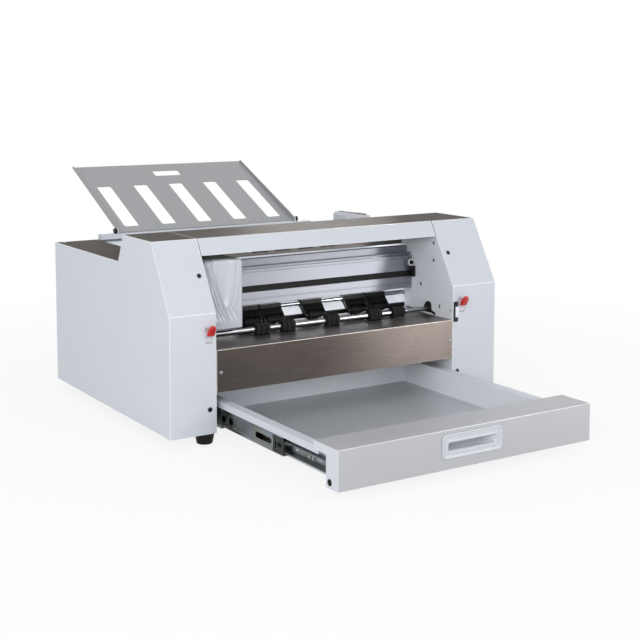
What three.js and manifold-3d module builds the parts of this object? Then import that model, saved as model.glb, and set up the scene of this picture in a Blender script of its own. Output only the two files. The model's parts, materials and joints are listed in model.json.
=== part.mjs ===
// Desktop die cutter: a sheet-fed cutting machine with a tilting feed tray, a carriage
// on a belt-driven beam, pinch and exit rollers, and a catch drawer on telescopic slides.
// Millimetres. +X is right, +Y is back, +Z is up. It stands as used: the drawer pulled
// out, the carriage parked at the left and the feed tray leaning back.
// The pieces are laid out from the housing's left, front, bottom corner, and the whole
// machine is then moved so that the origin is under its middle, on the table.
import * as THREE from 'three';
import { mergeVertices } from 'three/addons/utils/BufferGeometryUtils.js';
import Module from 'manifold-3d';

const wasm = await Module();
wasm.setup();

// Fits and cutting tools
const fitGap = 0.3;
const runGap = 0.5;
const overrun = 5;
const roundSides = 24;
const smallSides = 16;

// Housing: its side view is the same for both side covers and the header between them
const housingWidth = 640;
const housingDepth = 478;
const kneeHeight = 190;
const slopeSetback = 63;
const topHeight = 299;
const topDepth = 107;
const notchRun = 21;
const deckHeight = 253;
const leftFlange = 80;
const rightFlange = 95;
const sheet = 1.5;
const plateSheet = 2;
const plateHoleRadius = 3;
const plateHoles = [[57, 260], [57, 229], [94, 182], [39, 149]];

// Header between the side covers
const headerDrop = 26;
const headerLip = 12;
const headerRearDrop = 29;
const headerEndGap = 1;

// Feet
const footHeight = 17.5;
const footTopRadius = 15.8;
const footBottomRadius = 12.8;
const footRound = 3;
const footInset = 66.5;
const footSetback = 16.5;

// Catch drawer: pulled out by drawerTravel
const drawerTravel = 340;
const drawerSideGap = 2.5;
const drawerFrontHeight = 58;
const drawerFrontDepth = 62;
const drawerCheekDepth = 30;
const drawerCheekTop = 45;
const drawerSheet = 1.5;
const drawerFloorHeight = 3;
const drawerWallTop = 46;
const drawerLipDrop = 10;
const drawerInsideDepth = 385;
const drawerHemInset = 8.5;
const panFrontGap = 4;

// Recessed pull in the drawer front
const pullWidth = 110;
const pullHeight = 36;
const pullRise = 16;
const pullFlange = 2;
const pullBodyInset = 5;
const pullDepth = 24;
const pullWall = 2;
const pullSlotRise = 11;
const pullSlotHeight = 12;
const pullSlotInset = 11;
const pullCorner = 7;

// Telescopic slides
const slideThickness = 12.7;
const slideSheet = 1.2;
const slideLength = 350;
const slideSetback = 10;
const slideInnerSetback = 30;
const slideAxisHeight = 20;
const slideOuterHalf = 17.5;
const slideMiddleHalf = 14;
const slideInnerHalf = 9.5;
const slideMiddleShare = 0.55;
const spacerLength = 30;
const spacerHeight = 24;
const spacerShares = [0.2, 0.55, 0.9];

// Exit table
const tableHeight = 131;
const tableDepth = 112;
const apronDrop = 68;
const apronReturn = 12;
const tableSlotGap = 2;
const stripWidth = 10;
const stripThickness = 0.9;
const stripEndGap = 30;

// Exit shaft with its moulded-on rubber rollers, placed about the middle of the paper path
const pathShare = 0.5613;
const exitSetback = 75;
const exitShaftRadius = 4;
const exitRollerRadius = 10;
const exitRollerWidth = 26;
const exitDip = 1;
const exitPitchShares = [-1, -0.64, 0, 0.64, 1];
const exitReachShare = 0.2968;

// Beam that the carriage runs on
const beamSetback = 120;
const beamDepth = 28;
const beamBottom = 172;
const beamHeight = 64;
const beamGroove = 1.5;
const railDepth = 12;
const railHeight = 11;
const channelHeight = 17;
const channelDepth = 21;
const channelRise = 18;

// Belt drive of the carriage
const pulleyRadius = 8;
const pulleyHeight = 12;
const pulleyPinRadius = 2.5;
const pulleyPinReach = 3;
const beltThickness = 1.2;
const beltHeight = 10;
const motorPulleyOffset = 50;
const idlerInset = 10;
const bracketWidth = 11;
const bracketDepth = 11;
const bracketHeight = 19.5;
const bracketDrop = 5.5;
const bracketEndGap = 0.5;
const motorSide = 42;
const motorLength = 46;
const shelfMargin = 6;

// Carriage, parked at the left
const carriageLeft = 84;
const carriageWidth = 70;
const carriagePlate = 10.5;
const carriageDrop = 7;
const carriageGuide = 3.5;
const carriageGuideDepth = 12;
const coverSide = 0.5;
const coverWall = 2;
const coverDepth = 61;
const coverBottom = 152;
const coverTop = 263;
const coverRound = 20;
const coverRightRound = 5;
const bladeRadius = 8;
const bladeTipRadius = 1;
const bladeTipLength = 8;
const bladeLength = 66;
const bladeSetbackGap = 4;
const bladeLift = 2.2;
const bladeCollarWidth = 26;
const bladeCollarHeight = 14;
const bladeCollarRise = 30;

// Drive roller under the pinch rollers
const driveSetback = 128;
const driveRadius = 8;
const driveNeckRadius = 4.5;
const driveProud = 1.5;
const driveLandMargin = 3;

// Pinch rollers on their lift frame
const pinchRadius = 7.5;
const pinchWidthShare = 0.071;
const pinchPinRadius = 2;
const pinchPinReach = 2.5;
const pinchNip = 0.4;
const pinchReachShare = 0.2753;
const pinchPitchShares = [-1, -0.65, 0, 0.7, 1.06];
const liftSetback = 146;
const liftHeight = 160;
const liftShaftRadius = 4;
const cheekThickness = 4;
const cheekRadius = 4.5;
const liftBlockDepth = 14;
const liftBlockHeight = 12;
const liftWebLength = 18;

// Paper feed: ramp, pickup roller, tray bar and tray
const rampThickness = 1.5;
const rampFrontGap = 5;
const rampFrontHeight = 129;
const rampRearHeight = 249;
const guideSetback = 142;
const guideDepth = 6;
const guideBottom = 133.5;
const guideHeight = 7.5;
const pickupSetback = 208;
const pickupRadius = 16;
const pickupShaftRadius = 4;
const pickupWidth = 24;
const pickupReach = 60;
const barDepth = 16;
const barHeight = 9;
const barOverhang = 36.5;
const trayWidth = 384;
const trayLength = 248;
const trayAngle = 25.5;
const trayPivotSetback = 470;
const trayPivotRise = 14.5;
const trayDrop = 2;
const trayOverhang = 3;
const traySheet = 1.5;
const trayNoseRadius = 5;
const trayNoseLength = 15;
const trayFlangeHigh = 9;
const trayFlangeLow = 4.5;
const trayEar = 2;
const trayPinRadius = 2.5;
const trayBoltRadius = 5;
const trayBoltLength = 5;
const traySlotWidth = 30;
const traySlotLength = 152;
const traySlotStart = 16;
const traySlotCorner = 4;
const traySlotReachShare = 0.4063;
const traySlotPitchShares = [-1, -0.5, 0, 0.5, 1];
const trayGripWidth = 58;
const trayGripHeight = 21;
const trayGripStart = 200;

// Cross member behind the header
const memberSetback = 152;
const memberFlange = 11;
const memberBottom = 249;
const memberSlotHeight = 5;
const memberSlotRise = 5;
const memberSlotLength = 34;
const memberSlotPitch = 46;
const memberSlotCount = 4;

// Release levers on the front of the side covers
const leverWidth = 12;
const leverThickness = 8;
const leverReach = 24.8;
const leverLean = 32;
const leverSetback = 7;
const leverHeight = 147;
const leverLeftEdgeGap = 12;
const leverRightEdgeGap = 20;
const leverPinRadius = 3;
const leverBossRadius = 5;
const leverSlotLow = 143;
const leverSlotHigh = 167;

// Edge sensor in a notch of the right cover, in front of the frame plate's edge
const sensorWidth = 9;
const sensorHeight = 35;
const sensorBottom = 127;
const sensorDepth = 3;

// Control pod on the right deck, sloping down to the right
const podEdgeGap = 15;
const podSetback = 363;
const podWidth = 60;
const podDepth = 44;
const podHighSide = 32;
const podLowSide = 24;
const podChamfer = 5;
const podWall = 2;
const panelMargin = 6;
const panelThickness = 1.5;
const panelProud = 0.6;

// Electrics
const inletWidth = 48;
const inletHeight = 60;
const inletFlange = 2.5;
const inletMargin = 4;
const inletDepth = 24;
const inletRise = 34;
const inletEdgeGap = 18;
const socketWidth = 25;
const socketHeight = 17;
const socketDepth = 15;
const socketRise = 8;
const switchWidth = 20;
const switchHeight = 13;
const switchRise = 36;
const switchDepth = 8;
const switchProud = 2;
const switchPinRadius = 1.5;
const boardLength = 190;
const boardHeight = 110;
const boardThickness = 1.6;
const boardSetback = 245;
const boardRise = 60;
const boardStandoff = 8;
const standoffRadius = 3;
const supplyWidth = 50;
const supplyLength = 160;
const supplyHeight = 40;
const supplySetback = 260;

// Worked out from the sizes above
const openLeft = leftFlange;
const openRight = housingWidth - rightFlange;
const openCentre = (openLeft + openRight) / 2;
const openWidth = openRight - openLeft;
const pathCentre = openLeft + pathShare * openWidth;
const exitReach = exitReachShare * openWidth;
const pinchReach = pinchReachShare * openWidth;
const pinchWidth = pinchWidthShare * openWidth;
const traySlotReach = traySlotReachShare * trayWidth;
const topRear = slopeSetback + topDepth;
const notchRear = topRear + notchRun;
const insideGap = sheet + fitGap;
const slopeRise = topHeight - kneeHeight;
const slopeTurn = Math.atan2(slopeRise, slopeSetback);
const slopeStep = 1 / Math.sin(slopeTurn);
const topFront = slopeSetback + insideGap * slopeStep;
const drawerFace = -drawerTravel;
const drawerLeft = openLeft + drawerSideGap;
const drawerRight = openRight - drawerSideGap;
const drawerBack = drawerFace + drawerFrontDepth + drawerInsideDepth;
const channelBottom = beamBottom + channelRise;
const beltAxisHeight = channelBottom + channelHeight / 2;
const beltAxisSetback = beamSetback + pulleyRadius + beltThickness + runGap + fitGap;
const idlerX = openRight - idlerInset;
const motorTop = beltAxisHeight - pulleyHeight / 2 - shelfMargin;
const carriageBack = beamSetback - fitGap;
const carriageFront = carriageBack - carriagePlate;
const beamTop = beamBottom + beamHeight;
const railTop = beamTop + railHeight;
const bladeX = carriageLeft + carriageWidth / 2;
const bladeSetback = carriageFront - bladeSetbackGap - bladeRadius;
const bladeBottom = tableHeight + stripThickness + fitGap + bladeLift + fitGap;
const exitAxisHeight = tableHeight + exitRollerRadius - exitDip;
const driveAxisHeight = tableHeight + driveProud - driveRadius;
const pinchAxisHeight = driveAxisHeight + driveRadius + pinchNip + pinchRadius;
const rampFront = driveSetback + driveRadius + rampFrontGap;
const rampRear = trayPivotSetback - barDepth / 2 - fitGap;
const trayPivotHeight = deckHeight + trayPivotRise;
const trayTurn = THREE.MathUtils.degToRad(trayAngle);
const podLeft = openRight + podEdgeGap;
const podRight = podLeft + podWidth;
const slideNear = drawerSideGap + drawerHemInset + drawerSheet + fitGap;
const wallNear = slideNear + slideThickness + fitGap;

// Colours and surfaces
const paint = { color: 0xd9dde1, roughness: 0.45, metalness: 0.1 };
const silver = { color: 0xb9babd, roughness: 0.4, metalness: 0.6 };
const steel = { color: 0xa8a5a2, roughness: 0.3, metalness: 0.9 };
const zinc = { color: 0x8d9092, roughness: 0.4, metalness: 0.9 };
const alloy = { color: 0xc4c7cc, roughness: 0.35, metalness: 0.9 };
const moulded = { color: 0xe4e6e8, roughness: 0.5, metalness: 0 };
const blackPlastic = { color: 0x161616, roughness: 0.5, metalness: 0 };
const rubber = { color: 0x101010, roughness: 0.8, metalness: 0 };
const red = { color: 0xc21414, roughness: 0.4, metalness: 0 };
const board = { color: 0x1d4f2c, roughness: 0.6, metalness: 0 };

// Basic solids
const box = (x0, x1, y0, y1, z0, z1) => {
  const geometry = new THREE.BoxGeometry(x1 - x0, y1 - y0, z1 - z0);
  return geometry.translate((x0 + x1) / 2, (y0 + y1) / 2, (z0 + z1) / 2);
};

const outline = (points) => new THREE.Shape(points.map(([a, b]) => new THREE.Vector2(a, b)));

const flatExtrude = (shape, depth) => {
  return new THREE.ExtrudeGeometry(shape, { depth, bevelEnabled: false, curveSegments: smallSides / 4 });
};

// A side view of (y, z) points, run from x0 to x1
const alongX = (points, x0, x1) => {
  const turn = new THREE.Matrix4().set(0, 0, 1, x0, 1, 0, 0, 0, 0, 1, 0, 0, 0, 0, 0, 1);
  return flatExtrude(outline(points), x1 - x0).applyMatrix4(turn);
};

// A front view of (x, z) points, or a shape, run from y0 back to y1
const alongY = (front, y0, y1) => {
  const shape = Array.isArray(front) ? outline(front) : front;
  return flatExtrude(shape, y1 - y0).rotateX(Math.PI / 2).translate(0, y1, 0);
};

// A plan of (x, y) points, or a shape, run from z0 up to z1
const alongZ = (plan, z0, z1) => {
  const shape = Array.isArray(plan) ? outline(plan) : plan;
  return flatExtrude(shape, z1 - z0).translate(0, 0, z0);
};

const rod = (radius, length, sides) => new THREE.CylinderGeometry(radius, radius, length, sides);

const rodX = (radius, x0, x1, y, z, sides = roundSides) => {
  return rod(radius, x1 - x0, sides).rotateZ(Math.PI / 2).translate((x0 + x1) / 2, y, z);
};

const rodY = (radius, y0, y1, x, z, sides = roundSides) => {
  return rod(radius, y1 - y0, sides).translate(x, (y0 + y1) / 2, z);
};

const rodZ = (radius, z0, z1, x, y, sides = roundSides) => {
  return rod(radius, z1 - z0, sides).rotateX(Math.PI / 2).translate(x, y, (z0 + z1) / 2);
};

// A turned part from (radius, height) points, standing on z
const turned = (points, sides = roundSides) => {
  const profile = points.map(([radius, height]) => new THREE.Vector2(radius, height));
  return new THREE.LatheGeometry(profile, sides).rotateX(Math.PI / 2);
};

// A turned part along X from (radius, x) points, from its left end to its right end
const turnedX = (points, y, z, sides = roundSides) => {
  const profile = points.map(([radius, x]) => new THREE.Vector2(radius, x));
  return new THREE.LatheGeometry(profile, sides).rotateZ(-Math.PI / 2).translate(0, y, z);
};

const roundedRect = (x0, x1, y0, y1, radius) => {
  const shape = new THREE.Shape();
  shape.moveTo(x0 + radius, y0);
  shape.lineTo(x1 - radius, y0);
  shape.absarc(x1 - radius, y0 + radius, radius, -Math.PI / 2, 0, false);
  shape.lineTo(x1, y1 - radius);
  shape.absarc(x1 - radius, y1 - radius, radius, 0, Math.PI / 2, false);
  shape.lineTo(x0 + radius, y1);
  shape.absarc(x0 + radius, y1 - radius, radius, Math.PI / 2, Math.PI, false);
  shape.lineTo(x0, y0 + radius);
  shape.absarc(x0 + radius, y0 + radius, radius, Math.PI, Math.PI * 1.5, false);
  return shape;
};

// Joining and cutting
const toSolid = (geometry) => {
  const bare = geometry.clone();
  bare.deleteAttribute('normal');
  bare.deleteAttribute('uv');
  const merged = mergeVertices(bare);
  const vertProperties = new Float32Array(merged.attributes.position.array);
  const triVerts = new Uint32Array(merged.index.array);
  return new wasm.Manifold(new wasm.Mesh({ numProp: 3, vertProperties, triVerts }));
};

const toGeometry = (body) => {
  const mesh = body.getMesh();
  const geometry = new THREE.BufferGeometry();
  geometry.setAttribute('position', new THREE.BufferAttribute(mesh.vertProperties, 3));
  geometry.setIndex(new THREE.BufferAttribute(mesh.triVerts, 1));
  geometry.computeVertexNormals();
  return geometry;
};

const join = (geometries) => {
  const first = toSolid(geometries[0]);
  return toGeometry(geometries.slice(1).reduce((body, piece) => body.add(toSolid(piece)), first));
};

const cut = (geometry, tools) => {
  return toGeometry(tools.reduce((body, tool) => body.subtract(toSolid(tool)), toSolid(geometry)));
};

// Outlines: a closed outline drawn in by a distance, and a bent sheet from its outer line
const shifted = (from, to, distance) => {
  const dy = to[0] - from[0];
  const dz = to[1] - from[1];
  const length = Math.hypot(dy, dz);
  const side = [-dz / length * distance, dy / length * distance];
  return [[from[0] + side[0], from[1] + side[1]], [to[0] + side[0], to[1] + side[1]]];
};

const crossing = ([a, b], [c, d]) => {
  const r = [b[0] - a[0], b[1] - a[1]];
  const s = [d[0] - c[0], d[1] - c[1]];
  const t = ((c[0] - a[0]) * s[1] - (c[1] - a[1]) * s[0]) / (r[0] * s[1] - r[1] * s[0]);
  return [a[0] + r[0] * t, a[1] + r[1] * t];
};

const drawnIn = (points, distance) => points.map((point, i) => {
  const before = points[(i + points.length - 1) % points.length];
  const after = points[(i + 1) % points.length];
  return crossing(shifted(before, point, distance), shifted(point, after, distance));
});

const bentSheet = (points, thickness) => {
  const last = points.length - 1;
  const inner = points.map((point, i) => {
    if (i === 0) return shifted(point, points[1], thickness)[0];
    if (i === last) return shifted(points[last - 1], point, thickness)[1];
    return crossing(shifted(points[i - 1], point, thickness), shifted(point, points[i + 1], thickness));
  });
  return [...points, ...inner.reverse()];
};

// The scene graph
const machine = new THREE.Group();

const place = (name, geometry, look, parent = machine) => {
  const mesh = new THREE.Mesh(geometry, new THREE.MeshStandardMaterial(look));
  mesh.name = name;
  parent.add(mesh);
  return mesh;
};

// Side view of the housing, run counter-clockwise from the bottom front corner
const sideView = [
  [0, 0],
  [housingDepth, 0],
  [housingDepth, deckHeight],
  [notchRear, deckHeight],
  [topRear, topHeight],
  [slopeSetback, topHeight],
  [0, kneeHeight],
];

const slopeAt = (height) => (height - kneeHeight) / slopeRise * slopeSetback;

// Base pan with two ears that run forward beside the drawer
const addBase = () => {
  const left = insideGap;
  const right = housingWidth - insideGap;
  const front = insideGap;
  const back = housingDepth - insideGap;
  const mouth = drawerFrontDepth + panFrontGap;
  const plan = [
    [left, front],
    [openLeft, front],
    [openLeft, mouth],
    [openRight, mouth],
    [openRight, front],
    [right, front],
    [right, back],
    [left, back],
  ];
  place('base_pan', alongZ(plan, 0, sheet), zinc);
  const profile = [
    [0, -footHeight],
    [footBottomRadius - footRound, -footHeight],
    [footBottomRadius, -footHeight + footRound],
    [footTopRadius, -fitGap],
    [0, -fitGap],
  ];
  for (const [side, x] of [['left', footInset], ['right', housingWidth - footInset]]) {
    for (const [end, y] of [['front', footSetback], ['rear', housingDepth - footSetback]]) {
      place(`foot_${end}_${side}`, turned(profile).translate(x, y, 0), rubber);
    }
  }
};

// Side covers: folded shells, open at the bottom, at the top and towards the frame plates
const coverShell = (x0, x1, inner0, inner1) => {
  const front = sheet;
  const back = housingDepth - sheet;
  const high = topHeight + overrun;
  const hollow = [
    [front, -overrun],
    [back, -overrun],
    [back, high],
    [slopeAt(high) + sheet * slopeStep, high],
    drawnIn(sideView, sheet)[sideView.length - 1],
  ];
  return cut(alongX(sideView, x0, x1), [alongX(hollow, inner0, inner1)]);
};

const leverX = {
  left: openLeft - leverLeftEdgeGap,
  right: openRight + leverRightEdgeGap,
};

const inletLeft = inletEdgeGap;

const addCovers = () => {
  const leverHalf = leverWidth / 2 + runGap;
  const leverCut = (x) => box(
    x - leverHalf, x + leverHalf, -overrun, sheet + overrun, leverSlotLow, leverSlotHigh,
  );
  const inletCut = box(
    inletLeft + inletMargin - fitGap, inletLeft + inletWidth - inletMargin + fitGap,
    housingDepth - sheet - overrun, housingDepth + overrun,
    inletRise + inletMargin - fitGap, inletRise + inletHeight - inletMargin + fitGap,
  );
  const left = coverShell(0, leftFlange, sheet, leftFlange + overrun);
  place('left_cover', cut(left, [leverCut(leverX.left), inletCut]), paint);
  const right = coverShell(openRight, housingWidth, openRight - overrun, housingWidth - sheet);
  const sensorNear = openRight + plateSheet;
  const sensorCut = box(
    sensorNear, sensorNear + sensorWidth + 2 * fitGap, -overrun, sheet + overrun,
    sensorBottom - fitGap, sensorBottom + sensorHeight + fitGap,
  );
  place('right_cover', cut(right, [leverCut(leverX.right), sensorCut]), paint);
};

// Top sheets: they lie flush in the covers, and the middle one closes the back of the header
const addTopSheets = () => {
  const topLine = [[topRear, topHeight], [topFront, topHeight]];
  const side = bentSheet([[housingDepth - insideGap, deckHeight], [notchRear, deckHeight], ...topLine], sheet);
  const middle = bentSheet([[topRear, topHeight - headerRearDrop], ...topLine], sheet);
  const cableCut = rodZ(
    podChamfer, deckHeight - sheet - overrun, deckHeight + overrun,
    (podLeft + podRight) / 2, podSetback + podDepth / 2, smallSides,
  );
  place('left_top_sheet', alongX(side, insideGap, openLeft), steel);
  place('right_top_sheet', cut(alongX(side, openRight, housingWidth - insideGap), [cableCut]), steel);
  place('header_top_sheet', alongX(middle, openLeft + headerEndGap, openRight - headerEndGap), steel);
};

// Header: the front fascia with a lip along its low edge
const addHeader = () => {
  const low = topHeight - headerDrop;
  const line = [
    [slopeSetback, topHeight],
    [slopeAt(low), low],
    [slopeAt(low) + headerLip, low],
  ];
  const section = bentSheet(line, sheet);
  place('header_cover', alongX(section, openLeft + headerEndGap, openRight - headerEndGap), paint);
};

// Frame plates that carry the beam, the shafts and the drawer slides
const plateView = () => {
  const inside = drawnIn(sideView, insideGap);
  inside[0][1] = sheet + fitGap;
  inside[1][1] = sheet + fitGap;
  return inside;
};

const addFramePlates = () => {
  const bores = [
    [exitShaftRadius, exitSetback, exitAxisHeight],
    [driveNeckRadius, driveSetback, driveAxisHeight],
    [liftShaftRadius, liftSetback, liftHeight],
    [pickupShaftRadius, pickupSetback, pickupAxisHeight],
    ...plateHoles.map(([y, z]) => [plateHoleRadius, y, z]),
  ];
  const boreTools = (x0, x1) => bores.map(([radius, y, z]) => {
    return rodX(radius + fitGap, x0 - overrun, x1 + overrun, y, z, smallSides);
  });
  const leftX = openLeft - plateSheet;
  const beltHalf = pulleyRadius + beltThickness + runGap;
  const window = box(
    leftX - overrun, openLeft + overrun, beltAxisSetback - beltHalf - runGap, beltAxisSetback + beltHalf,
    channelBottom, channelBottom + channelHeight,
  );
  const shelf = box(
    motorPulleyOffset - motorSide / 2, openLeft - plateSheet / 2,
    beltAxisSetback - motorSide / 2, beltAxisSetback + motorSide / 2,
    motorTop + fitGap, motorTop + fitGap + plateSheet,
  );
  const shaftHole = rodZ(
    pulleyPinRadius + runGap, motorTop - overrun, motorTop + overrun + plateSheet,
    motorPulleyOffset, beltAxisSetback, smallSides,
  );
  const leverBore = (x0, x1) => rodX(leverPinRadius + fitGap, x0, x1, leverSetback, leverHeight, smallSides);
  const leftBores = [...boreTools(leftX, openLeft), leverBore(leftX - overrun, openLeft + overrun)];
  const leftPlate = join([alongX(plateView(), leftX, openLeft), shelf]);
  place('left_frame_plate', cut(leftPlate, [...leftBores, window, shaftHole]), paint);
  const rightX = openRight + plateSheet;
  const rightBores = [...boreTools(openRight, rightX), leverBore(openRight - overrun, rightX + overrun)];
  place('right_frame_plate', cut(alongX(plateView(), openRight, rightX), rightBores), paint);
};

const addRearPanel = () => {
  const y0 = housingDepth - sheet;
  const geometry = box(openLeft + fitGap, openRight - fitGap, y0, housingDepth, insideGap, deckHeight);
  place('rear_panel', geometry, paint);
};

const addCrossMember = () => {
  const top = topHeight - sheet - fitGap;
  const line = [
    [memberSetback + memberFlange, memberBottom],
    [memberSetback, memberBottom],
    [memberSetback, top],
    [memberSetback + memberFlange, top],
  ];
  const body = alongX(bentSheet(line.reverse(), sheet), openLeft + fitGap, openRight - fitGap);
  const slots = Array.from({ length: memberSlotCount }, (_, i) => {
    const x = openCentre + (i - (memberSlotCount - 1) / 2) * memberSlotPitch;
    const z = memberBottom + memberSlotRise;
    return box(
      x - memberSlotLength / 2, x + memberSlotLength / 2,
      memberSetback - overrun, memberSetback + overrun, z, z + memberSlotHeight,
    );
  });
  place('cross_member', cut(body, slots), zinc);
};

const exitRollerX = exitPitchShares.map((share) => pathCentre + share * exitReach);

const addExitTable = () => {
  const low = tableHeight - apronDrop;
  const line = [[tableDepth, tableHeight], [0, tableHeight], [0, low], [apronReturn, low]];
  const body = alongX(bentSheet(line, sheet), openLeft + fitGap, openRight - fitGap);
  const slotHalf = exitRollerWidth / 2 + tableSlotGap;
  const slots = exitRollerX.map((x) => box(
    x - slotHalf, x + slotHalf,
    exitSetback - exitRollerRadius, exitSetback + exitRollerRadius,
    tableHeight - sheet - overrun, tableHeight + overrun,
  ));
  place('exit_table', cut(body, slots), steel);
  const strip = box(
    bladeX - stripWidth, openRight - stripEndGap, bladeSetback - stripWidth / 2, bladeSetback + stripWidth / 2,
    tableHeight + fitGap, tableHeight + fitGap + stripThickness,
  );
  place('cutting_strip', strip, blackPlastic);
};

const addExitRollers = () => {
  const half = exitRollerWidth / 2;
  const rollers = exitRollerX.flatMap((x) => [
    [exitShaftRadius, x - half],
    [exitRollerRadius, x - half],
    [exitRollerRadius, x + half],
    [exitShaftRadius, x + half],
  ]);
  const left = openLeft - plateSheet;
  const right = openRight + plateSheet;
  const profile = [[0, left], [exitShaftRadius, left], ...rollers, [exitShaftRadius, right], [0, right]];
  place('exit_shaft', turnedX(profile, exitSetback, exitAxisHeight), steel);
};

// Beam: an extrusion with a belt channel, shallow grooves and a rail along its top
const addBeam = () => {
  const y0 = beamSetback;
  const y1 = beamSetback + beamDepth;
  const railFront = y1 - railDepth;
  const channelTop = channelBottom + channelHeight;
  const groove = (z) => [[y0, z], [y0 + beamGroove, z], [y0 + beamGroove, z - beamGroove], [y0, z - beamGroove]];
  const section = [
    [y0, beamBottom],
    [y1, beamBottom],
    [y1, railTop],
    [railFront, railTop],
    [railFront, beamTop],
    [y0, beamTop],
    ...groove(beamTop - railHeight / 2),
    [y0, channelTop],
    [y0 + channelDepth, channelTop],
    [y0 + channelDepth, channelBottom],
    [y0, channelBottom],
    ...groove(beamBottom + channelRise / 2),
  ];
  const body = alongX(section, openLeft + fitGap, openRight - fitGap);
  const pinHole = rodZ(
    pulleyPinRadius + fitGap,
    beltAxisHeight - channelHeight / 2 - pulleyPinReach - fitGap,
    beltAxisHeight + channelHeight / 2 + pulleyPinReach + fitGap,
    idlerX, beltAxisSetback, smallSides,
  );
  place('gantry_beam', cut(body, [pinHole]), alloy);
};

const stadium = (x0, x1, y, radius) => {
  const shape = new THREE.Shape();
  shape.moveTo(x0, y - radius);
  shape.lineTo(x1, y - radius);
  shape.absarc(x1, y, radius, -Math.PI / 2, Math.PI / 2, false);
  shape.lineTo(x0, y + radius);
  shape.absarc(x0, y, radius, Math.PI / 2, Math.PI * 1.5, false);
  return shape;
};

const addBeltDrive = () => {
  const inner = pulleyRadius + fitGap;
  const loop = stadium(motorPulleyOffset, idlerX, beltAxisSetback, inner + beltThickness);
  loop.holes.push(stadium(motorPulleyOffset, idlerX, beltAxisSetback, inner));
  const z0 = beltAxisHeight - beltHeight / 2;
  place('carriage_belt', alongZ(loop, z0, z0 + beltHeight), rubber);
  const half = pulleyHeight / 2;
  const bore = pulleyPinRadius + fitGap;
  const motorPulley = turned([
    [bore, beltAxisHeight - half],
    [pulleyRadius, beltAxisHeight - half],
    [pulleyRadius, beltAxisHeight + half],
    [bore, beltAxisHeight + half],
    [bore, beltAxisHeight - half],
  ]);
  place('motor_pulley', motorPulley.translate(motorPulleyOffset, beltAxisSetback, 0), steel);
  const pinEnd = channelHeight / 2 + pulleyPinReach;
  const idler = turned([
    [0, beltAxisHeight - pinEnd],
    [pulleyPinRadius, beltAxisHeight - pinEnd],
    [pulleyPinRadius, beltAxisHeight - half],
    [pulleyRadius, beltAxisHeight - half],
    [pulleyRadius, beltAxisHeight + half],
    [pulleyPinRadius, beltAxisHeight + half],
    [pulleyPinRadius, beltAxisHeight + pinEnd],
    [0, beltAxisHeight + pinEnd],
  ]);
  place('idler_pulley', idler.translate(idlerX, beltAxisSetback, 0), steel);
  const bracketLow = beltAxisHeight - bracketDrop;
  const bracket = box(
    openRight - bracketEndGap - bracketWidth, openRight - bracketEndGap,
    beamSetback - fitGap - bracketDepth, beamSetback - fitGap, bracketLow, bracketLow + bracketHeight,
  );
  place('idler_bracket', bracket, blackPlastic);
  const body = box(
    motorPulleyOffset - motorSide / 2, motorPulleyOffset + motorSide / 2,
    beltAxisSetback - motorSide / 2, beltAxisSetback + motorSide / 2,
    motorTop - motorLength, motorTop,
  );
  const shaft = rodZ(
    pulleyPinRadius, motorTop - motorLength / 2, beltAxisHeight + half + fitGap,
    motorPulleyOffset, beltAxisSetback,
  );
  place('carriage_motor', join([body, shaft]), blackPlastic);
};

// Carriage: a base that hooks over the beam's rail, a moulded cover and the blade holder
const addCarriage = () => {
  const x0 = carriageLeft;
  const x1 = carriageLeft + carriageWidth;
  const low = beamBottom - fitGap;
  const high = railTop + fitGap;
  const base = join([
    box(x0, x1, carriageFront, carriageBack, low - carriageDrop, high + carriageGuide),
    box(x0, x1, carriageFront, beamSetback + beamDepth + fitGap, high, high + carriageGuide),
    box(x0, x1, carriageFront, beamSetback + carriageGuideDepth, low - carriageGuide, low),
    box(
      x0 + carriageWidth / 4, x1 - carriageWidth / 4, carriageFront, beamSetback + fitGap,
      beltAxisHeight - beltHeight / 2, beltAxisHeight + beltHeight / 2,
    ),
  ]);
  place('carriage_base', base, alloy);
  const left = x0 - coverSide;
  const right = x1 + coverSide;
  const back = carriageFront - fitGap;
  const front = back - coverDepth;
  const plan = (wall) => {
    const shape = new THREE.Shape();
    const round = coverRound - wall;
    const rightRound = coverRightRound - wall;
    shape.moveTo(left + wall, back + (wall > 0 ? overrun : 0));
    shape.lineTo(left + wall, front + wall + round);
    shape.absarc(left + wall + round, front + wall + round, round, Math.PI, Math.PI * 1.5, false);
    shape.lineTo(right - wall - rightRound, front + wall);
    shape.absarc(right - wall - rightRound, front + wall + rightRound, rightRound, -Math.PI / 2, 0, false);
    shape.lineTo(right - wall, back + (wall > 0 ? overrun : 0));
    return shape;
  };
  const shell = alongZ(plan(0), coverBottom, coverTop);
  const hollow = alongZ(plan(coverWall), coverBottom - overrun, coverTop - coverWall);
  place('carriage_cover', cut(shell, [hollow]), moulded);
  const blade = turned([
    [0, bladeBottom],
    [bladeTipRadius, bladeBottom],
    [bladeRadius, bladeBottom + bladeTipLength],
    [bladeRadius, bladeBottom + bladeLength],
    [0, bladeBottom + bladeLength],
  ]).translate(bladeX, bladeSetback, 0);
  const collar = box(
    bladeX - bladeCollarWidth / 2, bladeX + bladeCollarWidth / 2,
    bladeSetback - bladeRadius, carriageFront - fitGap,
    bladeBottom + bladeCollarRise, bladeBottom + bladeCollarRise + bladeCollarHeight,
  );
  place('blade_holder', join([blade, collar]), blackPlastic);
};

// Drive roller: a necked shaft with a wide land under each pinch roller
const pinchX = pinchPitchShares.map((share) => pathCentre + share * pinchReach);

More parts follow.
